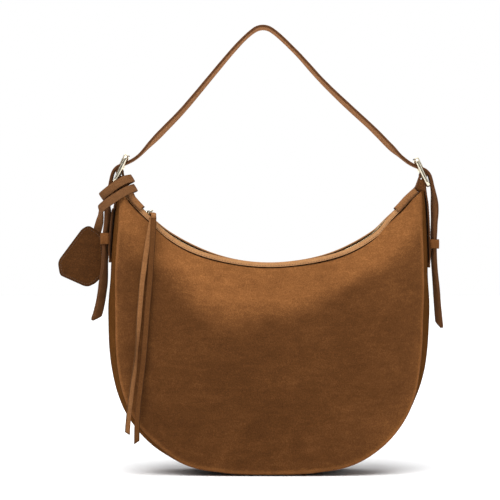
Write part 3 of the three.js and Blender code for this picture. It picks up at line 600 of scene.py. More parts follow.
def mouth_sag(ang):
    """The mouth sags between the two end tabs, the right half a little more, mm."""
    ang = np.asarray(ang, float)
    return 1.2 * (1 - smooth(np.abs(ang), 0.62, 0.76)) + 1.7 * smooth(ang, 0.08, 0.45) * (1 - smooth(ang, 0.62, 0.76))
LEFT_EDGE = [[-179.2, 336.4], [-181.6, 320], [-184.4, 298], [-186.9, 268], [-188.5, 238],
             [-189, 205], [-188.7, 178], [-187.9, 153], [-185.9, 132], [-183.4, 117], [-180, 102],
             [-175.6, 88.5], [-169.6, 74.5], [-161, 60.5], [-151, 47.5], [-138.6, 35.3], [-124.5, 24.6],
             [-107.5, 14.6], [-88, 6.9], [-70, 2.2], [-52, 0]]
RIGHT_EDGE = [[184, 333.8], [185.3, 318], [186.6, 298], [187.7, 268], [188.2, 238],
              [188.3, 205], [187.3, 178], [185.9, 153], [183.6, 132], [180.9, 117], [177, 102],
              [171.9, 88.5], [165.4, 74.5], [157.4, 60.5], [147.8, 47.5], [136.2, 35.3], [122.8, 24.6],
              [106.3, 14.6], [87.4, 6.9], [69.6, 2.2], [52, 0]]


def smooth(x, a, b):
    t = np.clip((np.asarray(x, float) - a) / (b - a), 0, 1)
    return t * t * (3 - 2 * t)


def outline(n_side, n_base):
    left = catmull(LEFT_EDGE, n_side)
    right = catmull(RIGHT_EDGE, n_side)[::-1]
    base = np.stack([np.linspace(-52, 52, n_base + 1)[1:-1], np.zeros(n_base - 1)], 1)
    o = np.vstack([left, base, right])
    tan = np.gradient(o, axis=0)
    tan /= np.linalg.norm(tan, axis=1)[:, None]
    inward = np.stack([-tan[:, 1], tan[:, 0]], 1)
    along = np.concatenate([[0], np.cumsum(np.linalg.norm(np.diff(o, axis=0), axis=1))])
    # the seams lift a little off the table either side of the flat
    low = np.exp(-((np.abs(o[:, 0]) - 66) / 24) ** 2) * np.exp(-o[:, 1] / 12)
    o[:, 1] += 2.4 * low
    return o, inward, along


def seam_half(z):
    return SEAM_TOP + (SEAM_BASE - SEAM_TOP) * (1 - np.clip(z / CORNER_Z, 0, 1) ** 1.8)


def swell(z):
    return BULGE_CORNER + (BULGE_BASE - BULGE_CORNER) * (1 - np.clip(z / CORNER_Z, 0, 1) ** 2.2)


def seam_inset(z):
    return 1.6 + 2.6 * smooth(z, 30, 190)


def painted_light_and_nap_at(u, x, z, dist, dist_top, side):
    """Painted light on a panel, 0 dark, 1 light: a painted highlight band under the zip, lighter near the seams, at the
    sides, towards the bottom and on the right, weaker on the back panel, with random nap variation mixed in.
    """
    n1 = noise.noise(Vector((x / 62.0, z / 40.0, 21.0 * side)))
    n2 = noise.noise(Vector((x / 24.0, z / 19.0, 33.0 * side)))
    reach = 34 + 40 * math.exp(-((u - 0.42) / 0.13) ** 2) + 12 * math.exp(-((u - 0.62) / 0.1) ** 2) + 9 * n1
    t_ = 1.12 * (1 - float(smooth(dist_top, reach * 0.45, reach * 1.25)))
    if side > 0:
        t_ *= 0.7
    t_ += 0.22 * math.exp(-(dist / 14) ** 2) * float(smooth(z, 20, 120))
    t_ += 0.06 * float(smooth(abs(x), 70, 150)) + 0.045 * float(smooth(95 - z, 0, 60))
    if x > 0:
        t_ += 0.17 * float(smooth(x, 85, 180))
    return min(max(t_ * (0.94 + 0.14 * n2) + 0.06 * n1 + 0.02 * n2, 0.0), 1.0)


def folds(x, z, side):
    """Soft dents and pulls of the empty bag, mostly inwards, in millimetres."""
    seed = 3.1 if side < 0 else 17.7
    a = noise.noise(Vector((x / 88.0, z / 62.0, seed)))
    b = noise.noise(Vector((x / 37.0 + 4, z / 44.0, seed + 3)))
    c = noise.noise(Vector((x / 17.0, z / 21.0, seed + 9)))
    d = 1.9 * a + 0.75 * b + 0.22 * c
    # pulls that fan out from the corners
    for cx, cz in ((-178, 336), (182, 334)):
        r = math.hypot(x - cx, z - cz)
        th = math.atan2(cz - z, abs(cx - x) + 1e-6)
        d += 1.1 * math.exp(-((r - 48) / 46) ** 2) * math.sin(th * 8.5 + (0.6 if cx < 0 else 2.0))
    # long shallow folds over the lower corners
    for cx, cz, k in ((-128, 62, 1.0), (126, 62, 2.2)):
        r = math.hypot(x - cx, (z - cz) * 1.1)
        d += 1.0 * math.exp(-((r - 42) / 22) ** 2) * math.cos(math.atan2(z - cz, x - cx) * 3 + k)
    # the zip's weight dishes the panel below it
    d -= 1.6 * math.exp(-(x / 105) ** 2 - ((z - 196) / 34) ** 2)
    return d


def front_inset(o):
    """The front seam is drawn in from the bag's widest line, mm; the gusset swells past it."""
    x, z = o[:, 0], o[:, 1]
    left_ = 3.7 * smooth(z, 6, 34) * (1 - 0.35 * smooth(z, 180, 250))
    right_ = 3.3 * smooth(z, 66, 128) * (1 - 0.3 * smooth(z, 180, 230))
    return np.where(x < 0, left_, right_) * (1 - smooth(z, 288, 326))


def panel(side, nu_side, nu_base, nv):
    o, inward, along = outline(nu_side, nu_base)
    if side < 0:
        o = o + inward * front_inset(o)[:, None]
    u = along / along[-1]
    # more columns near the seam and the zip
    v = np.linspace(0, 1, nv + 1)
    v = v - 0.115 * np.sin(2 * math.pi * v) / (2 * math.pi) * 5.0
    v = (v - v[0]) / (v[-1] - v[0])
    ins = seam_inset(o[:, 1])
    low = o + inward * ins[:, None]
    ang = (-ARC_PANEL + 2 * ARC_PANEL * u) * D2R
    an = ang / (52 * D2R)
    reach = PANEL_R + mouth_sag(an) + (2.8 * zip_roll(an) if side < 0 else 0.0)
    top = np.stack([reach * np.sin(ang), ARC_Z - reach * np.cos(ang)], 1)
    xz = low[:, None, :] + (top - low)[:, None, :] * v[None, :, None]
    z0 = o[:, 1][:, None]
    h = ZIP_HALF + (seam_half(z0) - ZIP_HALF) * (1 - v[None, :] ** 2.2) + swell(z0) * np.sin(math.pi * v[None, :])
    span = np.linalg.norm(top - low, axis=1)[:, None]
    dist = v[None, :] * span                      # from the seam, mm
    dist_top = (1 - v[None, :]) * span
    mask = smooth(dist, 2, 34) * smooth(dist_top, 3, 30) * smooth(u[:, None], 0.0, 0.035) * smooth(1 - u[:, None], 0.0, 0.035)
    f = np.zeros_like(h)
    for i in range(f.shape[0]):
        for j in range(f.shape[1]):
            if mask[i, j] > 0:
                f[i, j] = folds(xz[i, j, 0], xz[i, j, 1], side)
    f = np.minimum(f, 0.6 + 0.15 * f) - 0.35
    h = h + f * mask
    # puckers along the seam, and the rolled seam edge
    pk = np.array([noise.noise(Vector((a / 7.5, 2.0 * side, 0.4))) for a in along])[:, None]
    h = h + 0.42 * pk * np.exp(-((dist - 7) / 6) ** 2)
    r = 2.3
    edge = np.clip(1 - dist / r, 0, 1)
    h = h - r * (1 - np.sqrt(np.clip(1 - edge ** 2, 0, 1))) * 0.9
    edge_t = np.clip(1 - dist_top / 1.6, 0, 1)
    h = h - 0.9 * (1 - np.sqrt(np.clip(1 - edge_t ** 2, 0, 1)))
    outer = np.stack([xz[..., 0], side * h, xz[..., 1]], -1)
    inner = np.stack([xz[..., 0], side * (np.minimum(h, h - 0) - LEATHER), xz[..., 1]], -1)
    # near the seam the inside follows the roll
    # edge darkening: darker along the back panel's seam, and painted shade along both panels' top edges below the
    # facing groove
    edge_darkening = np.clip(1 - dist / 2.6, 0, 1) * (0.6 if side > 0 else 0.0) + np.clip(1 - dist_top / 1.2, 0, 1) * 0.25
    uv = np.stack([np.repeat(along, nv + 1), dist.ravel()], 1)
    name = "front_panel_suede" if side < 0 else "back_panel_suede"
    light_map = np.zeros_like(h)
    for i in range(h.shape[0]):
        for j in range(h.shape[1]):
            light_map[i, j] = painted_light_and_nap_at(u[i], xz[i, j, 0], xz[i, j, 1], dist[i, j], dist_top[i, j], side)
    if side < 0:
        light_map = light_map + 0.6 * np.exp(-((dist - 2.0) / 2.8) ** 2)      # painted highlight along the rolled edge
    ob = grid_shell(name, outer, inner, SUEDE, uv, edge_darkening.ravel(), light_map.ravel())
    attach(ob, "bag")
    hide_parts("front_panel" if side < 0 else "back_panel")
    return ob


panel(-1, 130, 22, 84)
panel(1, 100, 18, 64)


def gusset():
    o, inward, along = outline(130, 22)
    z = o[:, 1]
    y = seam_half(z) - 2.0
    t = np.linspace(-1, 1, 31)
    t = np.sign(t) * np.abs(t) ** 0.82
    ins = seam_inset(z)
    up = smooth(z, 60, 200)
    pulled = front_inset(o)
    swollen = 2.6 * (pulled / 3.5) * (1 - smooth(z, 196, 238))
    outer = np.zeros((len(o), len(t), 3))
    inner = np.zeros_like(outer)
    for i in range(len(o)):
        for j, q in enumerate(t):
            base = ins[i] * abs(q) ** 3.2
            d_edge = (1 - abs(q)) * y[i]
            roll = 1.9 * (1 - math.sqrt(max(0.0, 1 - max(0.0, 1 - d_edge / 2.2) ** 2)))
            w = noise.noise(Vector((along[i] / 34.0, q * 1.6, 5.0))) * 1.1 + noise.noise(Vector((along[i] / 13.0, q * 2.2, 8.0))) * 0.4
            w = max(w, -0.05) * up[i] * (1 - abs(q) ** 4) * (1.0 if abs(q * y[i]) > 11 else max(0.0, (abs(q * y[i]) - 9) / 2))
            d = base + roll + w + pulled[i] * max(0.0, -q) ** 1.4 - swollen[i] * (1 - q * q)
            outer[i, j] = (o[i, 0] + inward[i, 0] * d, q * y[i], o[i, 1] + inward[i, 1] * d)
            d += LEATHER
            inner[i, j] = (o[i, 0] + inward[i, 0] * d, q * (y[i] - 0.4), o[i, 1] + inward[i, 1] * d)
    outer[..., 2] = np.maximum(outer[..., 2], 0.0)
    # darker towards both seams
    edge_darkening = np.tile(np.clip((np.abs(t) - 0.93) / 0.07, 0, 1) * 0.7, len(o))
    uv = np.stack([np.repeat(along, len(t)), np.tile(t * 40, len(o))], 1)
    ob = grid_shell("gusset_suede", outer, inner, SUEDE_GUSSET, uv, edge_darkening)
    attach(ob, "bag")
    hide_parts("gusset")


gusset()


# ------------------------------------------------------------------ zip: facings, tapes, teeth, slider
def rho_point(a, r):
    return np.array([r * math.sin(a), 0.0, ARC_Z - r * math.cos(a)])


def band_path(r, n=150, a0=-ARC_PANEL, a1=ARC_PANEL):
    """Along the zip's arc, then on to both top corners."""
    pts = [rho_point(a * D2R, r) for a in np.linspace(a0, a1, n)]
    k = ARC_R - r
    left = [np.array([-178.4 - k * 0.1, 0, 335.0 + k]), np.array([-171.5 - k * 0.3, 0, 331.4 + k])]
    right = [np.array([171.6 + k * 0.3, 0, 330.6 + k]), np.array([182.4 + k * 0.1, 0, 332.9 + k])]
    return resample(np.vstack([left, pts, right]), n + 20)


def facing(side):
    """A narrow suede strip folded over the panel's top edge."""
    base = band_path(ARC_R)
    full = np.linspace(-1, 1, len(base))
    under = int(len(base) * 0.016)
    base, full = base[under:-under], full[under:-under]      # its ends stop under the saddles
    tan = np.gradient(base, axis=0)
    tan /= np.linalg.norm(tan, axis=1)[:, None]
    down = np.cross(tan, np.array([0, 1.0, 0]))      # away from the arc's centre
    down *= np.sign((down * (base - np.array([0, 0, ARC_Z]))).sum(1))[:, None]
    # section: depth below the upper edge, y
    sec = []
    # the groove above the panel is the last three corners
    corners = [(4.7, -13.2), (-0.6, -11.2), (-0.6, -8.3), (2.6, -8.5), (6.6, -9.4), (6.4, -10.1), (4.9, -10.9)]
    for k, (a, b) in enumerate(corners):
        pa = np.array(corners[k - 1]); pb = np.array((a, b)); pc = np.array(corners[(k + 1) % len(corners)])
        r = (0.8, 1.1, 0.9, 0.3, 0.2, 0.2, 0.3)[k]
        d1 = (pa - pb) / np.linalg.norm(pa - pb) * r
        d2 = (pc - pb) / np.linalg.norm(pc - pb) * r
        for f in (0, 0.33, 0.67, 1):
            sec.append(pb + d1 * (1 - f) ** 2 + d2 * f ** 2)
        sec.append((pb + d2 + pc - (pc - pb) / np.linalg.norm(pc - pb) * 0.9) / 2)
    sec = np.array(sec)
    n, m = len(base), len(sec)
    ang = full
    lift = (0.9 if side > 0 else -2.8) * zip_roll(ang) - mouth_sag(ang)
    wave = np.array([noise.noise(Vector((i / 9.0, side * 3.0, 2.2))) for i in range(n)]) * 0.32
    v = np.zeros((n, m, 3))
    for i in range(n):
        for j in range(m):
            dep = sec[j, 0] - lift[i]
            v[i, j] = base[i] + down[i] * dep
            v[i, j, 1] = -side * (sec[j, 1] - wave[i])
    faces = []
    for i in range(n - 1):
        for j in range(m):
            k = (j + 1) % m
            faces.append((i * m + j, i * m + k, (i + 1) * m + k, (i + 1) * m + j))
    faces.append(tuple(range(m))[::-1])
    faces.append(tuple((n - 1) * m + j for j in range(m)))
    s = np.concatenate([[0], np.cumsum(np.linalg.norm(np.diff(base, axis=0), axis=1))])
    uv = np.stack([np.repeat(s, m), np.tile(np.arange(m) * 1.0, n)], 1)
    # painted shade: the groove over the panel and the wall beside the zip are painted dark where they lie in shade
    groove = np.array([1.0 if (a_ > 4.75 and b_ > -12.6) or (b_ > -8.85 and a_ > 0.9) else 0.0 for a_, b_ in sec])
    near = np.tile(groove, n)
    key = "front" if side < 0 else "back"
    ob = mesh_obj(f"zip_facing_{key}_suede", v.reshape(-1, 3), faces, SUEDE_EDGE, uv, near)
    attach(ob, "bag")
    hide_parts(f"zip_facing_{key}")
    # a line of stitching near the lower edge
    line = base + down * (3.3 - lift)[:, None]
    line[:, 1] = side * 12.75
    nrm = down * -0.4 + np.array([0, side * 0.9, 0])
    st = stitches(f"facing_stitches_{key}", line[6:-6], nrm[6:-6], 3.2, 2.3, 0.27, 0.1)
    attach(st, "bag")


facing(-1)
facing(1)

for side, key in ((-1, "front"), (1, "back")):
    base = band_path(214.7)
    tan = np.gradient(base, axis=0)
    # tape: a thin woven band between facing and teeth
    path = base.copy()
    ang = np.linspace(-1, 1, len(base))
    up_ = np.array([0, 0, ARC_Z]) - base
    up_ /= np.linalg.norm(up_, axis=1)[:, None]
    path -= up_ * (mouth_sag(ang) + (0.3 if side > 0 else 1.7) * zip_roll(ang))[:, None]
    path[:, 1] = side * 5.85
    sec, near = rounded(6.4, 0.8, 0.3, 2, 3)
    ob = sweep(f"zip_tape_{key}_weave", path, (0, 1, 0), sec, TAPE)
    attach(ob, "bag")
    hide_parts(f"zip_tape_{key}")
    # teeth, meshed down the middle
    verts, faces = [], []
    pitch = 2.15
    total = 2 * 44.6 * D2R * 214.7
    count = int(total / pitch)
    profile = [(-2.7, 0.62), (-1.0, 0.62), (-0.2, 0.52), (0.25, 0.3), (0.25, -0.3), (-0.2, -0.52), (-1.0, -0.62), (-2.7, -0.62)]
    for k in range(count):
        a = (-44.6 * D2R) + (k + (0.25 if side < 0 else 0.75)) * pitch / 214.7
        c = rho_point(a, 214.7 + float(mouth_sag(a / D2R / 52.0)) + 1.0 * float(zip_roll(a / D2R / 52.0)))
        t = np.array([math.cos(a), 0, math.sin(a)])
        up = np.array([-math.sin(a), 0, math.cos(a)])
        for q, sc in ((-1.35, 0.86), (-1.1, 1.0), (1.1, 1.0), (1.35, 0.86)):
            for yy, ww in profile:
                y0 = -0.9
                verts.append(c + np.array([0, -side * ((yy - y0) * sc + y0), 0]) + t * ww * sc + up * q)
        b = len(verts) - 32
        for i in range(3):
            for j in range(8):
                k2 = (j + 1) % 8
                faces.append((b + i * 8 + j, b + i * 8 + k2, b + (i + 1) * 8 + k2, b + (i + 1) * 8 + j))
        faces.append(tuple(b + j for j in range(7, -1, -1)))
        faces.append(tuple(b + 24 + j for j in range(8)))
    ob = mesh_obj(f"zip_teeth_{key}_metal", verts, faces, GOLD_DARK, smooth_angle=30)
    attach(ob, "bag")
    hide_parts(f"zip_teeth_{key}")


def placed(ob_verts, angle):
    """Drawn over the arc's lowest point, turned to its place on the arc. Local: x along, y across, height over the zip line."""
    a = angle * D2R
    v = np.asarray(ob_verts, float)
    r = 214.7 - v[:, 2]
    x = v[:, 0] * math.cos(a) + r * math.sin(a)
    z = ARC_Z - r * math.cos(a) + v[:, 0] * math.sin(a)
    return np.stack([x, v[:, 1], z], 1)


def rounded_plate(hx0, hx1, hy0, hy1, z0, z1, r=0.5, rings=4):
    """A soft-edged plate, hx0/hy0 its nose and hx1/hy1 its tail."""
    out = []
    n = 40
    for k in range(n):
        a = 2 * math.pi * k / n
        c, s = math.cos(a), math.sin(a)
        e = 0.45
        x = math.copysign(abs(c) ** e, c)
        y = math.copysign(abs(s) ** e, s)
        hx = hx1 if x > 0 else hx0
        wy = hy0 + (hy1 - hy0) * (x + 1) / 2
        out.append((x * hx, y * wy))
    out = np.array(out)
    v, faces = [], []
    levels = []
    for i in range(rings + 1):
        f = (math.pi / 2) * i / rings
        levels.append((z0 + r * (1 - math.sin(f)), r * (1 - math.cos(f)) if False else r * (1 - math.cos(math.pi / 2 - f))))
    levels = [(z0 + r - r * math.sin(math.pi / 2 * (rings - i) / rings), r * (1 - math.cos(math.pi / 2 * (rings - i) / rings))) for i in range(rings + 1)]
    top = [(z1 - (zz - z0), ins) for zz, ins in reversed(levels)]
    allv = levels + top
    for zz, ins in allv:
        for x, y in out:
            l = math.hypot(x, y)
            v.append((x * (1 - ins / l), y * (1 - ins / l), zz))
    m = n
    for i in range(len(allv) - 1):
        for j in range(m):
            k = (j + 1) % m
            faces.append((i * m + j, i * m + k, (i + 1) * m + k, (i + 1) * m + j))
    faces.append(tuple(range(m))[::-1])
    faces.append(tuple((len(allv) - 1) * m + j for j in range(m)))
    return np.array(v), faces


def merge(parts):
    v, f = [], []
    for pv, pf in parts:
        b = len(v)
        v += [tuple(p) for p in pv]
        f += [tuple(i + b for i in q) for q in pf]
    return np.array(v), f


def tube_mesh(path, r, n=12, closed=False, widths=(0, 1, 0.001), scale=None):
    p = np.asarray(path, float)
    tan, w, nrm = frames(p, widths, closed)
    sc = np.ones(len(p)) if scale is None else np.asarray(scale)
    v = []
    for i in range(len(p)):
        for k in range(n):
            a = 2 * math.pi * k / n
            v.append(p[i] + (w[i] * math.cos(a) + nrm[i] * math.sin(a)) * r * sc[i])
    f = []
    for i in range(len(p) if closed else len(p) - 1):
        b = ((i + 1) % len(p)) * n
        for k in range(n):
            f.append((i * n + k, i * n + (k + 1) % n, b + (k + 1) % n, b + k))
    if not closed:
        f.append(tuple(range(n))[::-1])
        f.append(tuple((len(p) - 1) * n + k for k in range(n)))
    return np.array(v), f


SLIDER = -42.6
parts = [rounded_plate(5.6, 5.6, 3.3, 4.6, 2.0, 4.0, 0.6), rounded_plate(5.2, 5.2, 3.2, 4.4, -3.8, -2.1, 0.5),
         rounded_plate(3.0, 3.0, 0.3, 0.3, -2.4, 2.4, 0.05, 1)]
# bail: a wide low arch across the slider
bail = []
for k in range(21):
    f = k / 20
    a = math.pi * (1 - f)
    y = -1.1 + 2.35 * math.copysign(abs(math.cos(a)) ** 0.55, math.cos(a)) * -1
    z = 3.6 + 5.6 * (math.sin(a) ** 0.5 if math.sin(a) > 0 else 0)
    bail.append((0, y, z))
bv, bf = [], []
sec, _ = rounded(2.8, 1.3, 0.45, 3, 1)
tan, w, nrm = frames(np.array(bail), (1, 0, 0))
for i in range(len(bail)):
    for s_, t_ in sec:
        bv.append(np.array(bail[i]) + w[i] * s_ + nrm[i] * t_)
m = len(sec)
for i in range(len(bail) - 1):
    for j in range(m):
        k = (j + 1) % m
        bf.append((i * m + j, i * m + k, (i + 1) * m + k, (i + 1) * m + j))
bf.append(tuple(range(m))[::-1]); bf.append(tuple((len(bail) - 1) * m + j for j in range(m)))
parts.append((np.array(bv), bf))
v, f = merge(parts)
ob = mesh_obj("zip_slider_metal", placed(v, SLIDER), f, GOLD)
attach(ob, "slider"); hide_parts("zip_slider")

TIP = 20 * D2R


def on_ring(a, grow=0.0):
    """A point of the ring, a from -90 degrees at its front."""
    r_ = 4.3 + grow
    return (1.2 + r_ * math.cos(a), -1.1 - 4.3 * math.cos(TIP) + r_ * math.sin(a) * math.cos(TIP), 6.5 - 4.3 * math.sin(TIP) + r_ * math.sin(a) * math.sin(TIP))


ring = [on_ring(a) for a in np.linspace(0, 2 * math.pi, 49)[:-1]]
v, f = tube_mesh(ring, 0.9, 12, True, (0, 0, 1))
ob = mesh_obj("pull_ring_metal", placed(v, SLIDER), f, RING_GOLD)
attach(ob, "slider"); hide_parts("pull_ring")

# the thongs' fold over the ring
ring_at = placed(np.array([on_ring(-44 * D2R)]), SLIDER)[0]
tr = np.array(THONG_RIGHT[0]); tl = np.array(THONG_LEFT[0])
key_pts = [tr + (0.0, 0.6, -3.0), tr + (0.0, -1.0, 1.0), tr + (-0.2, 1.2, 4.2), ring_at + (1.2, -4.6, 2.6), ring_at + (0.5, -1.6, 3.4),
           ring_at + (0.2, 1.6, 2.4), ring_at + (0, 2.4, -0.4), ring_at + (-0.2, 0.6, -3.2), (tl + ring_at) / 2 + (-0.2, 0.6, -1.6), tl + (0.0, -0.4, 0.6), tl + (0, 1.0, -3.0)]
path = catmull(np.array(key_pts), 70)
sec, near = rounded(6.1, 1.7, 0.6, 3, 3, 0.1)
wdir = np.tile((1.0, 0, 0), (len(path), 1))
ob = sweep("thong_fold", path, wdir, sec, SUEDE_THONG, near, wobble=0.1)
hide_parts("pull_loop")
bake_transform(ob)

for key, a in (("left", -45.2), ("right", 45.2)):
    v, f = rounded_plate(0.8, 0.8, 2.4, 2.4, -1.8, 1.8, 0.4)
    ob = mesh_obj(f"zip_stop_{key}_metal", placed(v, a), f, GOLD_DARK)
    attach(ob, "bag"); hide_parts(f"zip_stop_{key}")

# ------------------------------------------------------------------ strap: one piece from tip to tip
STRAP_W, STRAP_T = 19.0, 3.2
ARCH = [[-152.3, 379.6], [-142.2, 389.4], [-123.3, 408.3], [-104.4, 427.2], [-87.6, 446],
        [-71.6, 464.9], [-47.8, 493.2], [-39.5, 502.6], [-30.6, 512], [-21, 520.6], [-14.4, 524.8],
        [-7.4, 526.2], [-0.6, 524.8], [6.3, 520.4], [16.2, 511.8], [25.8, 502.4], [34.9, 493.2],
        [60.4, 464.9], [79.2, 446], [98.8, 427.2], [119.6, 408.3], [139.8, 389.6], [152.3, 378.4]]
END_TOP = [[155.6, 375.6], [160, 371.9], [167.4, 366.6], [174, 363.3], [180, 361.0],
           [185.6, 358.2], [189.7, 353.6], [191.9, 347.5], [193.6, 340], [195.2, 331]]
END_RIGHT = [[196.3, 320], [196.6, 308], [196, 294], [195.5, 276], [195.6, 258], [196.1, 238],
             [197.2, 217], [198.4, 199], [199.9, 182], [200.7, 174.5]]
END_LEFT = [[192.4, 320], [193.6, 306], [194.4, 292], [194.9, 276], [195.3, 258], [196.3, 238],
            [198.3, 218], [200.8, 202], [203.6, 190], [206, 182.5]]
LEFT_DX, LEFT_DZ = -4.8, 4.0
left = [[-(x + LEFT_DX), z + LEFT_DZ] for x, z in END_TOP[1:]] + [[-x, z] for x, z in END_LEFT]
right = END_TOP[1:] + END_RIGHT
line = left[::-1] + ARCH[1:-1] + right
path2 = catmull(np.array(line, float), 620)
path = np.stack([path2[:, 0], np.zeros(len(path2)), path2[:, 1]], 1)
# the arch is drawn up a little as it hangs, and stands out where it leaves the right buckle
rise = smooth(path[:, 2], 386, 470)
path[:, 0] *= 1 + 0.012 * rise
path[:, 2] += 2.2 * smooth(path[:, 2], 386, 526)
low_right = (path[:, 0] > 186) * smooth(262 - path[:, 2], 0, 50)
path[:, 0] += 1.5 * low_right
path[:, 0] += 2.0 * np.exp(-((path[:, 2] - 300) / 14.0) ** 2) * (path[:, 0] < -186)
out = np.exp(-((path[:, 2] - 412) / 34.0) ** 2) * (path[:, 0] > 0) * smooth(path[:, 2], 372, 402)
path[:, 0] += 1.3 * out
path[:, 2] += 1.0 * out
s = np.concatenate([[0], np.cumsum(np.linalg.norm(np.diff(path, axis=0), axis=1))])
total = s[-1]
tail = np.minimum(s, total - s)
scale = np.clip(0.8 + 0.2 * np.clip(tail / 3.0, 0, 1) ** 0.5, 0, 1)
sec, near = rounded(STRAP_W, STRAP_T, 0.9, 3, 9, 0.18)
# it turns about its own line: front edge outwards
TURN_RIGHT = [(344, 0), (314, 17), (290, 13), (270, 9), (246, 10), (210, 13), (170, 15)]
TURN_LEFT = [(332, 0), (300, 16), (286, 13), (268, 11), (249, 13), (222, 23), (180, 26)]


def turn(z, table):
    k = 0
    while k < len(table) - 2 and table[k + 1][0] > z:
        k += 1
    f = min(max((table[k][0] - z) / (table[k][0] - table[k + 1][0]), 0), 1)
    return (table[k][1] + (table[k + 1][1] - table[k][1]) * f * f * (3 - 2 * f)) * D2R


twist = np.zeros(len(path))
apex = int(np.argmax(path[:, 2]))
for i in range(len(path)):
    z = path[i, 2]
    outer = abs(path[i, 0]) > 186
    if outer and z < 345:
        twist[i] = -turn(z, TURN_RIGHT if i > apex else TURN_LEFT)
    elif z > 373:
        low = 1 - float(smooth(z, 396, 522))
        twist[i] = -(0.09 + (0.10 if path[i, 0] > 0 else 0.12) * low) * float(smooth(z, 374, 386 if path[i, 0] > 0 else 402))
# painted light: the strap's colour is lifted, more over the arch above the buckles
lit = np.where(path[:, 2] > 366, 0.3 + 0.4 * smooth(path[:, 2], 366, 392), 0.3)
strap = sweep("shoulder_strap_suede", path, (0, 1, 0), sec, SUEDE_STRAP, near, scale=scale, twist=twist, wobble=0.25, seed=2.0,
              cut=(3.4, -3.4), painted_light_and_nap=lit)
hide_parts("shoulder_strap", "strap_end_left", "strap_end_right")

# prong holes are cut where the prongs pass
BUCKLE_TOP = np.array([173.5, 371.5])
BUCKLE_BOTTOM = np.array([188.5, 340.0])
L = float(np.linalg.norm(BUCKLE_BOTTOM - BUCKLE_TOP))
DV = (BUCKLE_BOTTOM - BUCKLE_TOP) / L
NV = np.array([-DV[1], DV[0]])
PIV = BUCKLE_TOP + DV * 20.8


def side_at(side, p):
    dx, dz = (0, 0) if side > 0 else (LEFT_DX, LEFT_DZ)
    return np.array([side * (p[0] + dx), p[1] + dz])


def cut_box(ob, centre, direction, half):
    """Cuts a slot through ob: centre in x, z, its long side along direction, half sizes along it, across it and in y."""
    d = np.array([direction[0], 0, direction[1]])
    n = np.array([-direction[1], 0, direction[0]])
    c = np.array([centre[0], 0, centre[1]])
    v = [c + d * a * half[0] + n * b * half[1] + np.array([0, e * half[2], 0]) for a in (-1, 1) for b in (-1, 1) for e in (-1, 1)]
    f = [(0, 1, 3, 2), (4, 6, 7, 5), (0, 4, 5, 1), (2, 3, 7, 6), (0, 2, 6, 4), (1, 5, 7, 3)]
    cutter = mesh_obj("cutter", v, f, SUEDE)
    mod = ob.modifiers.new("cut", "BOOLEAN")
    mod.operation = "DIFFERENCE"
    mod.solver = "EXACT"
    mod.object = cutter
    dg = bpy.context.evaluated_depsgraph_get()
    me = bpy.data.meshes.new_from_object(ob.evaluated_get(dg))
    ob.modifiers.clear()
    old = ob.data
    ob.data = me
    bpy.data.meshes.remove(old)
    bpy.data.objects.remove(cutter)


for side in (1, -1):
    a = side_at(side, PIV + NV * 3.0 - DV * 7.6)
    d = side_at(side, PIV + NV * 3.0 - DV * 8.6) - a
    cut_box(strap, a, d / np.linalg.norm(d), (5.8, 2.4, 2.2))
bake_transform(strap)

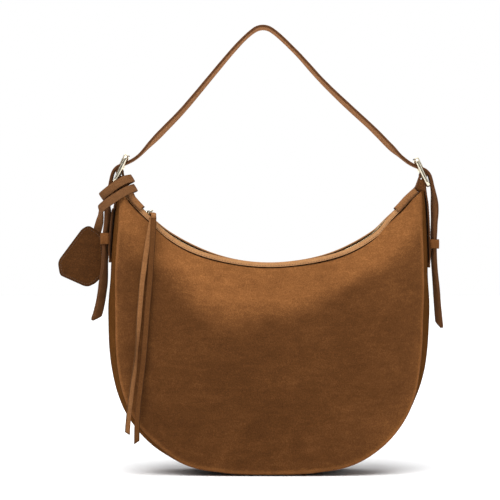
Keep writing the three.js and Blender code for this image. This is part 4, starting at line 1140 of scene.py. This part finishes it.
# ------------------------------------------------------------------ buckles, chapes, keepers
for side in (1, -1):
    key = "right" if side > 0 else "left"

    def world(y, s_, q):
        p = BUCKLE_TOP + DV * s_ + NV * q
        x, z = side_at(side, p)
        return np.array([x, y, z])

    # frame: rounded rectangle of drawn wire
    rr, hw = 4.6, 12.1
    flat = []
    for cx, cy, a0 in ((-hw + rr, L - rr, 180), (hw - rr, L - rr, 90), (hw - rr, rr, 0), (-hw + rr, rr, -90)):
        for k in range(9):
            a = (a0 - 90 * k / 8) * D2R
            flat.append((cx + rr * math.cos(a), cy + rr * math.sin(a)))
    flat = np.array(flat)
    closed = np.vstack([flat, flat[:1]])
    flat = resample(closed, 120)[:-1]
    pts = np.array([world(y, s_, 0.0) for y, s_ in flat])
    wid = np.array([world(0, 0, 1) - world(0, 0, 0)])[0]
    tan, w, nrm = frames(pts, wid, True)
    v, f = [], []
    m = 16
    for i in range(len(pts)):
        for k in range(m):
            a = 2 * math.pi * k / m
            # flattened wire
            ca, sa = math.cos(a), math.sin(a)
            ru = 1.55 * math.copysign(abs(ca) ** 0.62, ca)
            rq = 2.1 * math.copysign(abs(sa) ** 0.62, sa)
            v.append(pts[i] + w[i] * rq + nrm[i] * ru)
    for i in range(len(pts)):
        b = ((i + 1) % len(pts)) * m
        for k in range(m):
            f.append((i * m + k, i * m + (k + 1) % m, b + (k + 1) % m, b + k))
    ob = mesh_obj(f"buckle_frame_{key}_metal", v, f, GOLD, smooth_angle=60)
    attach(ob, f"buckle_{key}"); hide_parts(f"buckle_frame_{key}")

    # bar: turned down at its ends where it enters the rails
    prof = [(-11.2, 1.1), (-10.3, 1.1), (-10.0, 1.75), (-9.4, 1.8), (9.4, 1.8), (10.0, 1.75), (10.3, 1.1), (11.2, 1.1)]
    c = side_at(side, PIV)
    bp = [np.array([c[0], y, c[1]]) for y, _ in prof]
    v, f = tube_mesh(bp, 1.0, 20, False, (1, 0, 0), [r for _, r in prof])
    ob = mesh_obj(f"buckle_bar_{key}_metal", v, f, GOLD)
    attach(ob, f"buckle_{key}"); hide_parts(f"buckle_bar_{key}")

    # prong: an eye rolled round the bar, and a shank that tapers to the far bar
    eye = []
    for a in np.linspace(250, 30, 22):
        eye.append(world(0, 20.8 + 2.8 * math.sin(a * D2R) * -1.0, 2.8 * math.cos(a * D2R)))
    shank = [world(0, 17.6, 3.35), world(0, 14.5, 3.6), world(0, 9.5, 3.65), world(0, 4.5, 3.6), world(0, 0.8, 3.45), world(0, -1.6, 2.9)]
    pp = catmull(np.array(eye + shank), 70)
    ss = np.linspace(0, 1, len(pp))
    scl = np.where(ss > 0.93, 1 - 0.45 * ((ss - 0.93) / 0.07) ** 2, 1.0)
    v, f = tube_mesh(pp, 1.0, 14, False, (0, 1, 0), scl)
    ob = mesh_obj(f"buckle_prong_{key}_metal", v, f, GOLD)
    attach(ob, f"prong_{key}"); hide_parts(f"buckle_prong_{key}")

    # chape: one strip from the zip's end, round the bar and down the gusset
    dx, dz = (0, 0) if side > 0 else (LEFT_DX, LEFT_DZ)
    cr = 1.8 + 0.4 + 1.0
    cover = []
    cover_r = ARC_R - 1.45 if side > 0 else ARC_R - 2.4
    for a in (45, 46.6, 48.2, 49.6):
        w_ = (a + (0 if side > 0 else 0.4)) * D2R
        cover.append([cover_r * math.sin(w_), ARC_Z - cover_r * math.cos(w_)])
    cover += [[164.6, 329.2], [168.8, 333.0], [172.2, 336.1]] if side > 0 else [[162.6, 330.6], [165.8, 334.4], [168.6, 337.8]]
    lp = [[174.8, 339.4], [176.4, 343.2], [177.8, 347.2]] if side > 0 else [[175.4, 337.6], [176.8, 341.6], [178.0, 345.8]]
    for a in range(196, 0, -24):
        lp.append([PIV[0] + cr * math.cos(a * D2R), PIV[1] + cr * math.sin(a * D2R)])
    lp += [[185.3, 347.5], [184.7, 343], [184.8, 338.6]]
    edge = catmull(RIGHT_EDGE if side > 0 else LEFT_EDGE, 200)
    edge[:, 0] *= side
    down = []
    z = 332.5 if side > 0 else 335.0
    stop = 243 if side > 0 else 249
    while z >= stop - 0.1:
        x = np.interp(z, edge[::-1][:, 1], edge[::-1][:, 0])
        down.append([x + 0.35 + 1.0, z])
        z -= 6
    down.append([down[-1][0] + 0.02, stop])
    if abs(down[-2][1] - stop) < 1:
        down.pop(-2)
    line = [[side * x, z] for x, z in cover] + [[side * (x + dx), z + dz] for x, z in lp] + [[side * x, z] for x, z in down]
    p2 = catmull(np.array(line, float), 240)
    path = np.stack([p2[:, 0], np.zeros(len(p2)), p2[:, 1]], 1)
    # it stands off the gusset a little between its two seams
    off = smooth(path[:, 2], stop + 2, stop + 16) * (1 - smooth(path[:, 2], 316, 332)) * (np.abs(path[:, 0]) > 184)
    pad = path[(path[:, 2] < 333) & (np.abs(path[:, 0]) > 180)]
    path[:, 0] += side * (1.0 if side > 0 else 1.7) * off
    sec, near = rounded(19.0, 2.0, 0.7, 3, 9, 0.12)
    ob = sweep(f"chape_{key}_suede", path, (0, 1, 0), sec, SUEDE_STRAP, near)
    # a dark layer behind the chape down the gusset, darker at its edges: painted shade for the gap between the strap's
    # tail and the gusset
    psec, pnear = rounded(18.4, 1.7, 0.6, 3, 7, 0.1)
    po = sweep(f"chape_painted_shade_{key}_suede", pad, (0, 1, 0), psec, SUEDE_SHADE, pnear)
    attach(po, "bag")
    pc = side_at(side, PIV)
    cut_box(ob, (pc[0], pc[1] + 1.6), (1.0, 0.0), (6.6, 4.9, 1.9))
    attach(ob, "bag"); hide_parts(f"chape_{key}")
    # the saddle over the zip's end, its sides hanging over both facings
    rp = catmull(np.array([[side * x, z] for x, z in cover], float), 40)
    rp = np.stack([rp[:, 0], np.zeros(len(rp)), rp[:, 1]], 1)
    us = []
    W, T, H = 14.6, 1.35, 6.3
    for cx, cy, a0, r_ in ((-W + 2.4, -1.1 + 2.4, 180, 2.4), (W - 2.4, -1.1 + 2.4, 270, 2.4)):
        if a0 == 180:
            us.append((-W, H))
            us.append((-W + 0.05, H * 0.55))
        for k in range(6):
            a = (a0 + 90 * k / 5) * D2R
            us.append((cx + r_ * math.cos(a), cy + r_ * math.sin(a)))
        if a0 == 180:
            for k in range(1, 6):
                f = k / 6
                us.append((-W + 2.4 + (2 * W - 4.8) * f, -1.1 - 0.25 * math.sin(math.pi * f)))
    us += [(W - 0.05, H * 0.55), (W, H), (W - T * 0.5, H + 0.25), (W - T, H)]
    us += [(W - T, 2.2), (W - T - 0.5, 0.9), (W - T - 1.6, 0.35), (-W + T + 1.6, 0.35), (-W + T + 0.5, 0.9), (-W + T, 2.2), (-W + T, H), (-W + T * 0.5, H + 0.25)]
    us = np.array(us)
    near_u = np.clip((us[:, 1] - (H - 0.7)) / 0.7, 0, 1)
    sad = sweep(f"chape_saddle_{key}_suede", rp, (0, 1, 0), np.stack([us[:, 0], -side * us[:, 1]], 1), SUEDE_THONG, near_u)
    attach(sad, "bag")
    for yy in (-1, 1):
        tan_, w_, n_ = frames(rp, (0, 1, 0))
        ln = rp + n_ * (-side * (H - 1.6)) + w_ * (yy * (W + 0.02))
        st = stitches(f"saddle_stitches_{key}_{'a' if yy < 0 else 'b'}", ln[1:-1], (0, yy, 0), 3.0, 2.1, 0.25, 0.0)
        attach(st, "bag")
    # the two leaves of the chape are sewn together below the bar
    core = [[172.6, 334.0], [174.8, 339.4], [176.4, 343.2], [177.8, 347.0], [181.4, 348.0], [185.1, 347.2], [184.6, 343], [184.7, 338.6], [184.9, 333.0]]
    core = [[side * (x + (0 if side > 0 else LEFT_DX)), z + (0 if side > 0 else LEFT_DZ)] for x, z in core]
    core = np.array(core)
    mid_ = core.mean(axis=0)
    rows = [(-9.2, 0.9), (-8.9, 0.97), (-8.0, 1.0), (8.0, 1.0), (8.9, 0.97), (9.2, 0.9)]
    cv = [(mid_[0] + (p_[0] - mid_[0]) * k_, y_, mid_[1] + (p_[1] - mid_[1]) * k_) for y_, k_ in rows for p_ in core]
    m_ = len(core)
    cf = [tuple(range(m_)), tuple((len(rows) - 1) * m_ + j for j in range(m_))[::-1]]
    cf += [(i * m_ + j, (i + 1) * m_ + j, (i + 1) * m_ + (j + 1) % m_, i * m_ + (j + 1) % m_) for i in range(len(rows) - 1) for j in range(m_)]
    if side < 0:
        cf = [q_[::-1] for q_ in cf]
    # a constant painted-light lift of 0.15 makes the core a little lighter
    co = mesh_obj(f"chape_core_{key}_suede", np.array(cv), cf, SUEDE, None, np.zeros(len(cv)), 40, np.full(len(cv), 0.15))
    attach(co, "bag")
    # stitched down the gusset and over the zip's end
    tan, w, nrm = frames(path, (0, 1, 0))
    out_sign = np.sign((nrm * np.array([side, 0, 0.2])).sum(1))
    zz = path[:, 2]
    for part_, m_ in (("side", (zz < 333) & (np.abs(path[:, 0]) > 180) & ((zz < (262 if side > 0 else 268)) | (zz > (280 if side > 0 else 286)))), ("end", np.abs(path[:, 0]) < 140)):
        idx = np.where(m_)[0]
        groups = np.split(idx, np.where(np.diff(idx) > 1)[0] + 1)
        for gi, g in enumerate(groups):
            if len(g) < 6:
                continue
            for yy in (-7.6, 7.6):
                ln = path[g] + w[g] * yy + nrm[g] * (out_sign[g] * 1.07)[:, None]
                st = stitches(f"chape_stitches_{key}_{part_}_{gi}_{'a' if yy < 0 else 'b'}", ln, nrm[g] * out_sign[g][:, None], 3.2, 2.3, 0.28, 0.1)
                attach(st, "bag")

    # keeper: a narrow loop round the strap's end
    z0, z1 = (265.3, 276.6) if side > 0 else (270.6, 284.2)
    x0 = (190.4 if side > 0 else 189.7) + 0.75
    x1 = (201.2 if side > 0 else 200.5) - 0.8
    hy, rk = 10.65, 1.9
    loop = []
    for cx, cy, a0 in ((x1 - rk, hy - rk, 0), (x0 + rk, hy - rk, 90), (x0 + rk, -hy + rk, 180), (x1 - rk, -hy + rk, 270)):
        for k in range(7):
            a = (a0 + 90 * k / 6) * D2R
            loop.append((side * (cx + rk * math.cos(a)), cy + rk * math.sin(a), (z0 + z1) / 2))
    loop = np.array(loop)
    loop = resample(np.vstack([loop, loop[:1]]), 110)[:-1]
    sec, near = rounded(z1 - z0, 1.5, 0.6, 3, 4, 0.15)
    ob = sweep(f"keeper_{key}_suede", loop, (0, 0, 1), sec, SUEDE_KEEPER, near, closed=True)
    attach(ob, "bag"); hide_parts(f"keeper_{key}")

# ------------------------------------------------------------------ charm: wound lace and stitched tag
plane = (-0.53, 0, 0.85)
lace = [
    (-188, 16.2, 334.6, plane), (-178, 16.6, 341.2, plane), (-168.5, 16.2, 346, plane), (-162.6, 12.5, 348.4, plane),
    (-160.4, 6, 349.2, plane), (-160.4, -6, 348.8, plane), (-162.4, -13.2, 348.2, plane), (-168.5, -17.4, 346.8, plane),
    (-178, -18.6, 342.4, plane), (-188, -17.4, 335.6, plane), (-195, -13.6, 330.2, plane), (-198.6, -7, 327.6, plane),
    (-199.2, 1, 326.6, plane), (-198.4, 9, 326.6, plane), (-194.6, 16, 327.8, plane), (-188, 20.4, 329.8, plane),
    (-178, 21.4, 332.2, plane), (-168.5, 20.6, 334.4, plane), (-161, 16.4, 336.6, plane), (-156.8, 9.6, 337.8, plane),
    (-155.8, 1, 338, plane), (-156.4, -8, 337.4, plane), (-160.2, -15.4, 336, plane), (-167.6, -20.4, 333.2, plane),
    (-178, -22.2, 328, plane), (-188, -21.2, 321.4, plane), (-195.8, -16.4, 316, plane), (-199.8, -8.4, 312.6, plane),
    (-200.4, 0, 310.6, plane), (-200.6, 7.4, 307.4, (-0.45, 0.3, 0.84)), (-201.6, 13.0, 302.6, (-0.6, 0.65, 0.4)),
    (-203.2, 17.2, 297.2, (-0.9, 0.3, 0.2)), (-205.0, 18.9, 290.8, (-0.96, 0, 0.25)), (-207.0, 19.1, 283.4, (-0.96, 0, 0.25)),
    (-208.8, 19.1, 277.0, (-0.96, 0, 0.25)),
]
pts = np.array([p[:3] for p in lace], float)
pts[:, 0] = np.where(pts[:, 0] > -178, -178 + (pts[:, 0] + 178) * 0.83, pts[:, 0])      # drawn tight round the corner
wd = np.array([p[3] for p in lace], float)
path = catmull(pts, 420)
# widths follow the nearest control point, smoothly
sp = np.concatenate([[0], np.cumsum(np.linalg.norm(np.diff(pts, axis=0), axis=1))])
st_ = np.linspace(0, sp[-1], len(path))
widths = np.stack([np.interp(st_, sp, wd[:, k]) for k in range(3)], 1)
sec, near = rounded(10.0, 2.0, 0.75, 3, 5, 0.15)
ob = sweep("charm_lace_suede", path, widths, sec, SUEDE_STRAP, near, wobble=0.3, seed=12.0)
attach(ob, "bag"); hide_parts("charm_lace")

TAG = [[-216.6, 292.4], [-222.6, 288.6], [-247.4, 252.6], [-248.8, 247.4], [-247.2, 236.4],
       [-245.6, 233], [-219.4, 220.4], [-214.6, 220.0], [-207.8, 223.6], [-200.6, 230.8], [-196.8, 237],
       [-196.2, 243], [-199.4, 280.4], [-202.2, 284.2], [-212.8, 292.2]]
tag = np.array(TAG, float)


def tag_outline(shrink=0.0, n=150):
    """The tag's outline with its corners rounded, drawn in by shrink."""
    closed = []
    m = len(tag)
    for i in range(m):
        a, b, c = tag[i - 1], tag[i], tag[(i + 1) % m]
        ra = min(2.2, 0.45 * np.linalg.norm(a - b), 0.45 * np.linalg.norm(c - b))
        p = b + (a - b) / np.linalg.norm(a - b) * ra
        q = b + (c - b) / np.linalg.norm(c - b) * ra
        for t in np.linspace(0, 1, 6):
            closed.append((1 - t) ** 2 * p + 2 * t * (1 - t) * b + t * t * q)
    closed = np.array(closed + [closed[0]])
    closed[:, 0] = -196.2 + (closed[:, 0] + 196.2) * 1.075
    pts_ = resample(closed, n)[:-1]
    if shrink:
        tan_ = np.roll(pts_, -1, 0) - np.roll(pts_, 1, 0)
        tan_ /= np.linalg.norm(tan_, axis=1)[:, None]
        nin = np.stack([-tan_[:, 1], tan_[:, 0]], 1)
        centre = pts_.mean(0)
        nin *= np.sign(((centre - pts_) * nin).sum(1).mean())
        pts_ = pts_ + nin * shrink
    return pts_


hole_c = np.array([-222.5, 255.0])
for key, y0, y1, face in (("front", 13.2, 15.1, -1), ("back", 15.45, 17.35, 1)):
    n = 150
    rings = []
    r = 0.7
    # rings run from the middle outwards on one face, round the edge, and back on the other
    outer_ring = tag_outline(0, n)
    ang = np.arctan2(outer_ring[:, 1] - hole_c[1], outer_ring[:, 0] - hole_c[0])
    hole_ring = np.stack([hole_c[0] + 1.0 * np.cos(ang), hole_c[1] + 1.0 * np.sin(ang)], 1)
    fr = [0.0, 0.12, 0.24, 0.38, 0.52, 0.66, 0.78, 0.88, 0.94]
    puff = lambda f_: 0.3 * math.cos(math.pi / 2 * min(max(f_, 0), 1)) ** 0.7
    for f_ in fr:
        xy = hole_ring + (tag_outline(r, n) - hole_ring) * f_
        rings.append((xy, y0 - (puff(f_) if face < 0 else 0)))
    for a in (0, 22.5, 45, 67.5, 90):
        rings.append((tag_outline(r * (1 - math.sin(a * D2R)), n), y0 + r * (1 - math.cos(a * D2R))))
    for a in (90, 67.5, 45, 22.5, 0):
        rings.append((tag_outline(r * (1 - math.sin(a * D2R)), n), y1 - r * (1 - math.cos(a * D2R))))
    for f_ in fr[::-1]:
        xy = hole_ring + (tag_outline(r, n) - hole_ring) * f_
        rings.append((xy, y1 + (puff(f_) if face > 0 else 0)))
    v = np.vstack([np.stack([xy[:, 0], np.full(n, y), xy[:, 1]], 1) for xy, y in rings])
    R = len(rings)
    f = [tuple(range(n)), tuple((R - 1) * n + j for j in range(n))[::-1]]
    for i in range(R - 1):
        for j in range(n):
            k = (j + 1) % n
            f.append((i * n + j, i * n + k, (i + 1) * n + k, (i + 1) * n + j))
    near = np.concatenate([np.full(n, max(0.0, 1 - min(abs(i - 11), abs(i - 16)) / 3.0)) for i in range(R)])
    ob = mesh_obj(f"tag_{key}_suede", v, f, SUEDE_TAG, None, near)
    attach(ob, "tag"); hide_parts(f"tag_{key}")
    ln = tag_outline(3.0, 240)
    ln = np.vstack([ln, ln[:1]])
    y = (y0 - 0.16) if face < 0 else (y1 + 0.16)
    line = np.stack([ln[:, 0], np.full(len(ln), y), ln[:, 1]], 1)
    st = stitches(f"tag_stitches_{key}", line, (0, face, 0), 3.0, 2.1, 0.26, 0.12)
    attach(st, "tag")

# ------------------------------------------------------------------ lining and slip pocket, behind the zip
def pouch_side(side, depth, inset, radius, arc, o, inward, along, nv):
    u = along / along[-1]
    v = np.linspace(0, 1, nv + 1)
    low = o + inward * inset
    if side < 0:
        low = low + inward * (front_inset(o) * 1.1 + 0.8)[:, None]
    ang = (-arc + 2 * arc * u) * D2R
    an = ang / (52 * D2R)
    reach = radius + mouth_sag(an) + (2.8 * zip_roll(an) if side < 0 else 0.0)
    top = np.stack([reach * np.sin(ang), ARC_Z - reach * np.cos(ang)], 1)
    xz = low[:, None, :] + (top - low)[:, None, :] * v[None, :, None]
    z0 = o[:, 1][:, None]
    h = ZIP_HALF + (seam_half(z0) - ZIP_HALF) * (1 - v[None, :] ** 2.2) + swell(z0) * np.sin(math.pi * v[None, :]) - depth
    wr = np.zeros_like(h)
    for i in range(h.shape[0]):
        for j in range(h.shape[1]):
            wr[i, j] = -1.6 * abs(noise.noise(Vector((xz[i, j, 0] / 31.0, xz[i, j, 1] / 52.0, 3.3 * side))))
    h = h + wr * np.sin(math.pi * np.clip(v[None, :], 0, 1))
    return np.stack([xz[..., 0], side * h, xz[..., 1]], -1)


o, inward, along = outline(54, 8)
nv = 22
arc = ARC_PANEL - 1.6
fo = pouch_side(-1, LEATHER + 3.4, 4.0, PANEL_R + 2, arc, o, inward, along, nv)
bo = pouch_side(1, LEATHER + 3.4, 4.0, PANEL_R + 2, arc, o, inward, along, nv)
fi = pouch_side(-1, LEATHER + 4.4, 5.0, PANEL_R + 2, arc, o, inward, along, nv)
bi = pouch_side(1, LEATHER + 4.4, 5.0, PANEL_R + 2, arc, o, inward, along, nv)
# one sheet: down the front, across the gusset, up the back
across = 8
mid_o, mid_i = [], []
for k in range(1, across):
    f = k / across
    mid_o.append(fo[:, 0] * (1 - f) + bo[:, 0] * f)
    mid_i.append(fi[:, 0] * (1 - f) + bi[:, 0] * f)
outer = np.concatenate([fo[:, ::-1]] + [m_[:, None] for m_ in mid_o] + [bo], 1)
inner = np.concatenate([fi[:, ::-1]] + [m_[:, None] for m_ in mid_i] + [bi], 1)
cols = outer.shape[1]
step = np.linalg.norm(np.diff(outer, axis=1), axis=2).mean(0)
uv = np.stack([np.repeat(along, cols), np.tile(np.concatenate([[0], np.cumsum(step)]), len(o))], 1)
ob = grid_shell("lining_cotton", outer, inner, LINING, uv)
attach(ob, "bag"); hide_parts("lining")

o2, inward2, along2 = outline(54, 8)
mid = len(o2) // 2
rows = range(mid - 9, mid + 10)
u2 = along2 / along2[-1]
po, pi_ = [], []
for i in rows:
    a_, b_ = [], []
    for j in range(25):
        v_ = 0.3 + 0.4 * j / 24
        low = o2[i] + inward2[i] * 4.8
        ang = (-(ARC_PANEL - 1.2) + 2 * (ARC_PANEL - 1.2) * u2[i]) * D2R
        top = np.array([(PANEL_R + 2) * math.sin(ang), ARC_Z - (PANEL_R + 2) * math.cos(ang)])
        q = low + (top - low) * v_
        z0 = o2[i, 1]
        h = float(ZIP_HALF + (seam_half(z0) - ZIP_HALF) * (1 - v_ ** 2.2) + swell(z0) * math.sin(math.pi * v_)) - LEATHER - 6.6
        edge_ = 0.5 if j >= 22 else 0.0
        sag = -1.2 * math.sin(math.pi * (i - rows[0]) / 18) * (j / 24) ** 3
        a_.append((q[0], h + sag, q[1]))
        b_.append((q[0], h + sag - 0.9 - edge_, q[1]))
    po.append(a_)
    pi_.append(b_)
po, pi_ = np.array(po), np.array(pi_)
uv = np.stack([po[..., 0].ravel(), po[..., 2].ravel()], 1)
ob = grid_shell("inner_pocket_cotton", po, pi_, LINING, uv)
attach(ob, "bag"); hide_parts("inner_pocket")

# ------------------------------------------------------------------ floor
t = Tree("floor")
n_ = t.noise(t.coords(), 3, 2)
t.to("Base Color", t.ramp(n_, [(0.0, (0.97, 0.97, 0.97, 1)), (1.0, (0.985, 0.985, 0.985, 1))]))
t.set("Roughness", 0.8)
me = bpy.data.meshes.new("floor")
me.from_pydata([(-6, -4, 0), (6, -4, 0), (6, 8, 0), (-6, 8, 0)], [], [(0, 1, 2, 3)])
me.materials.append(t.mat)
floor = bpy.data.objects.new("floor", me)
floor.location.z = -0.0003
scene.collection.objects.link(floor)
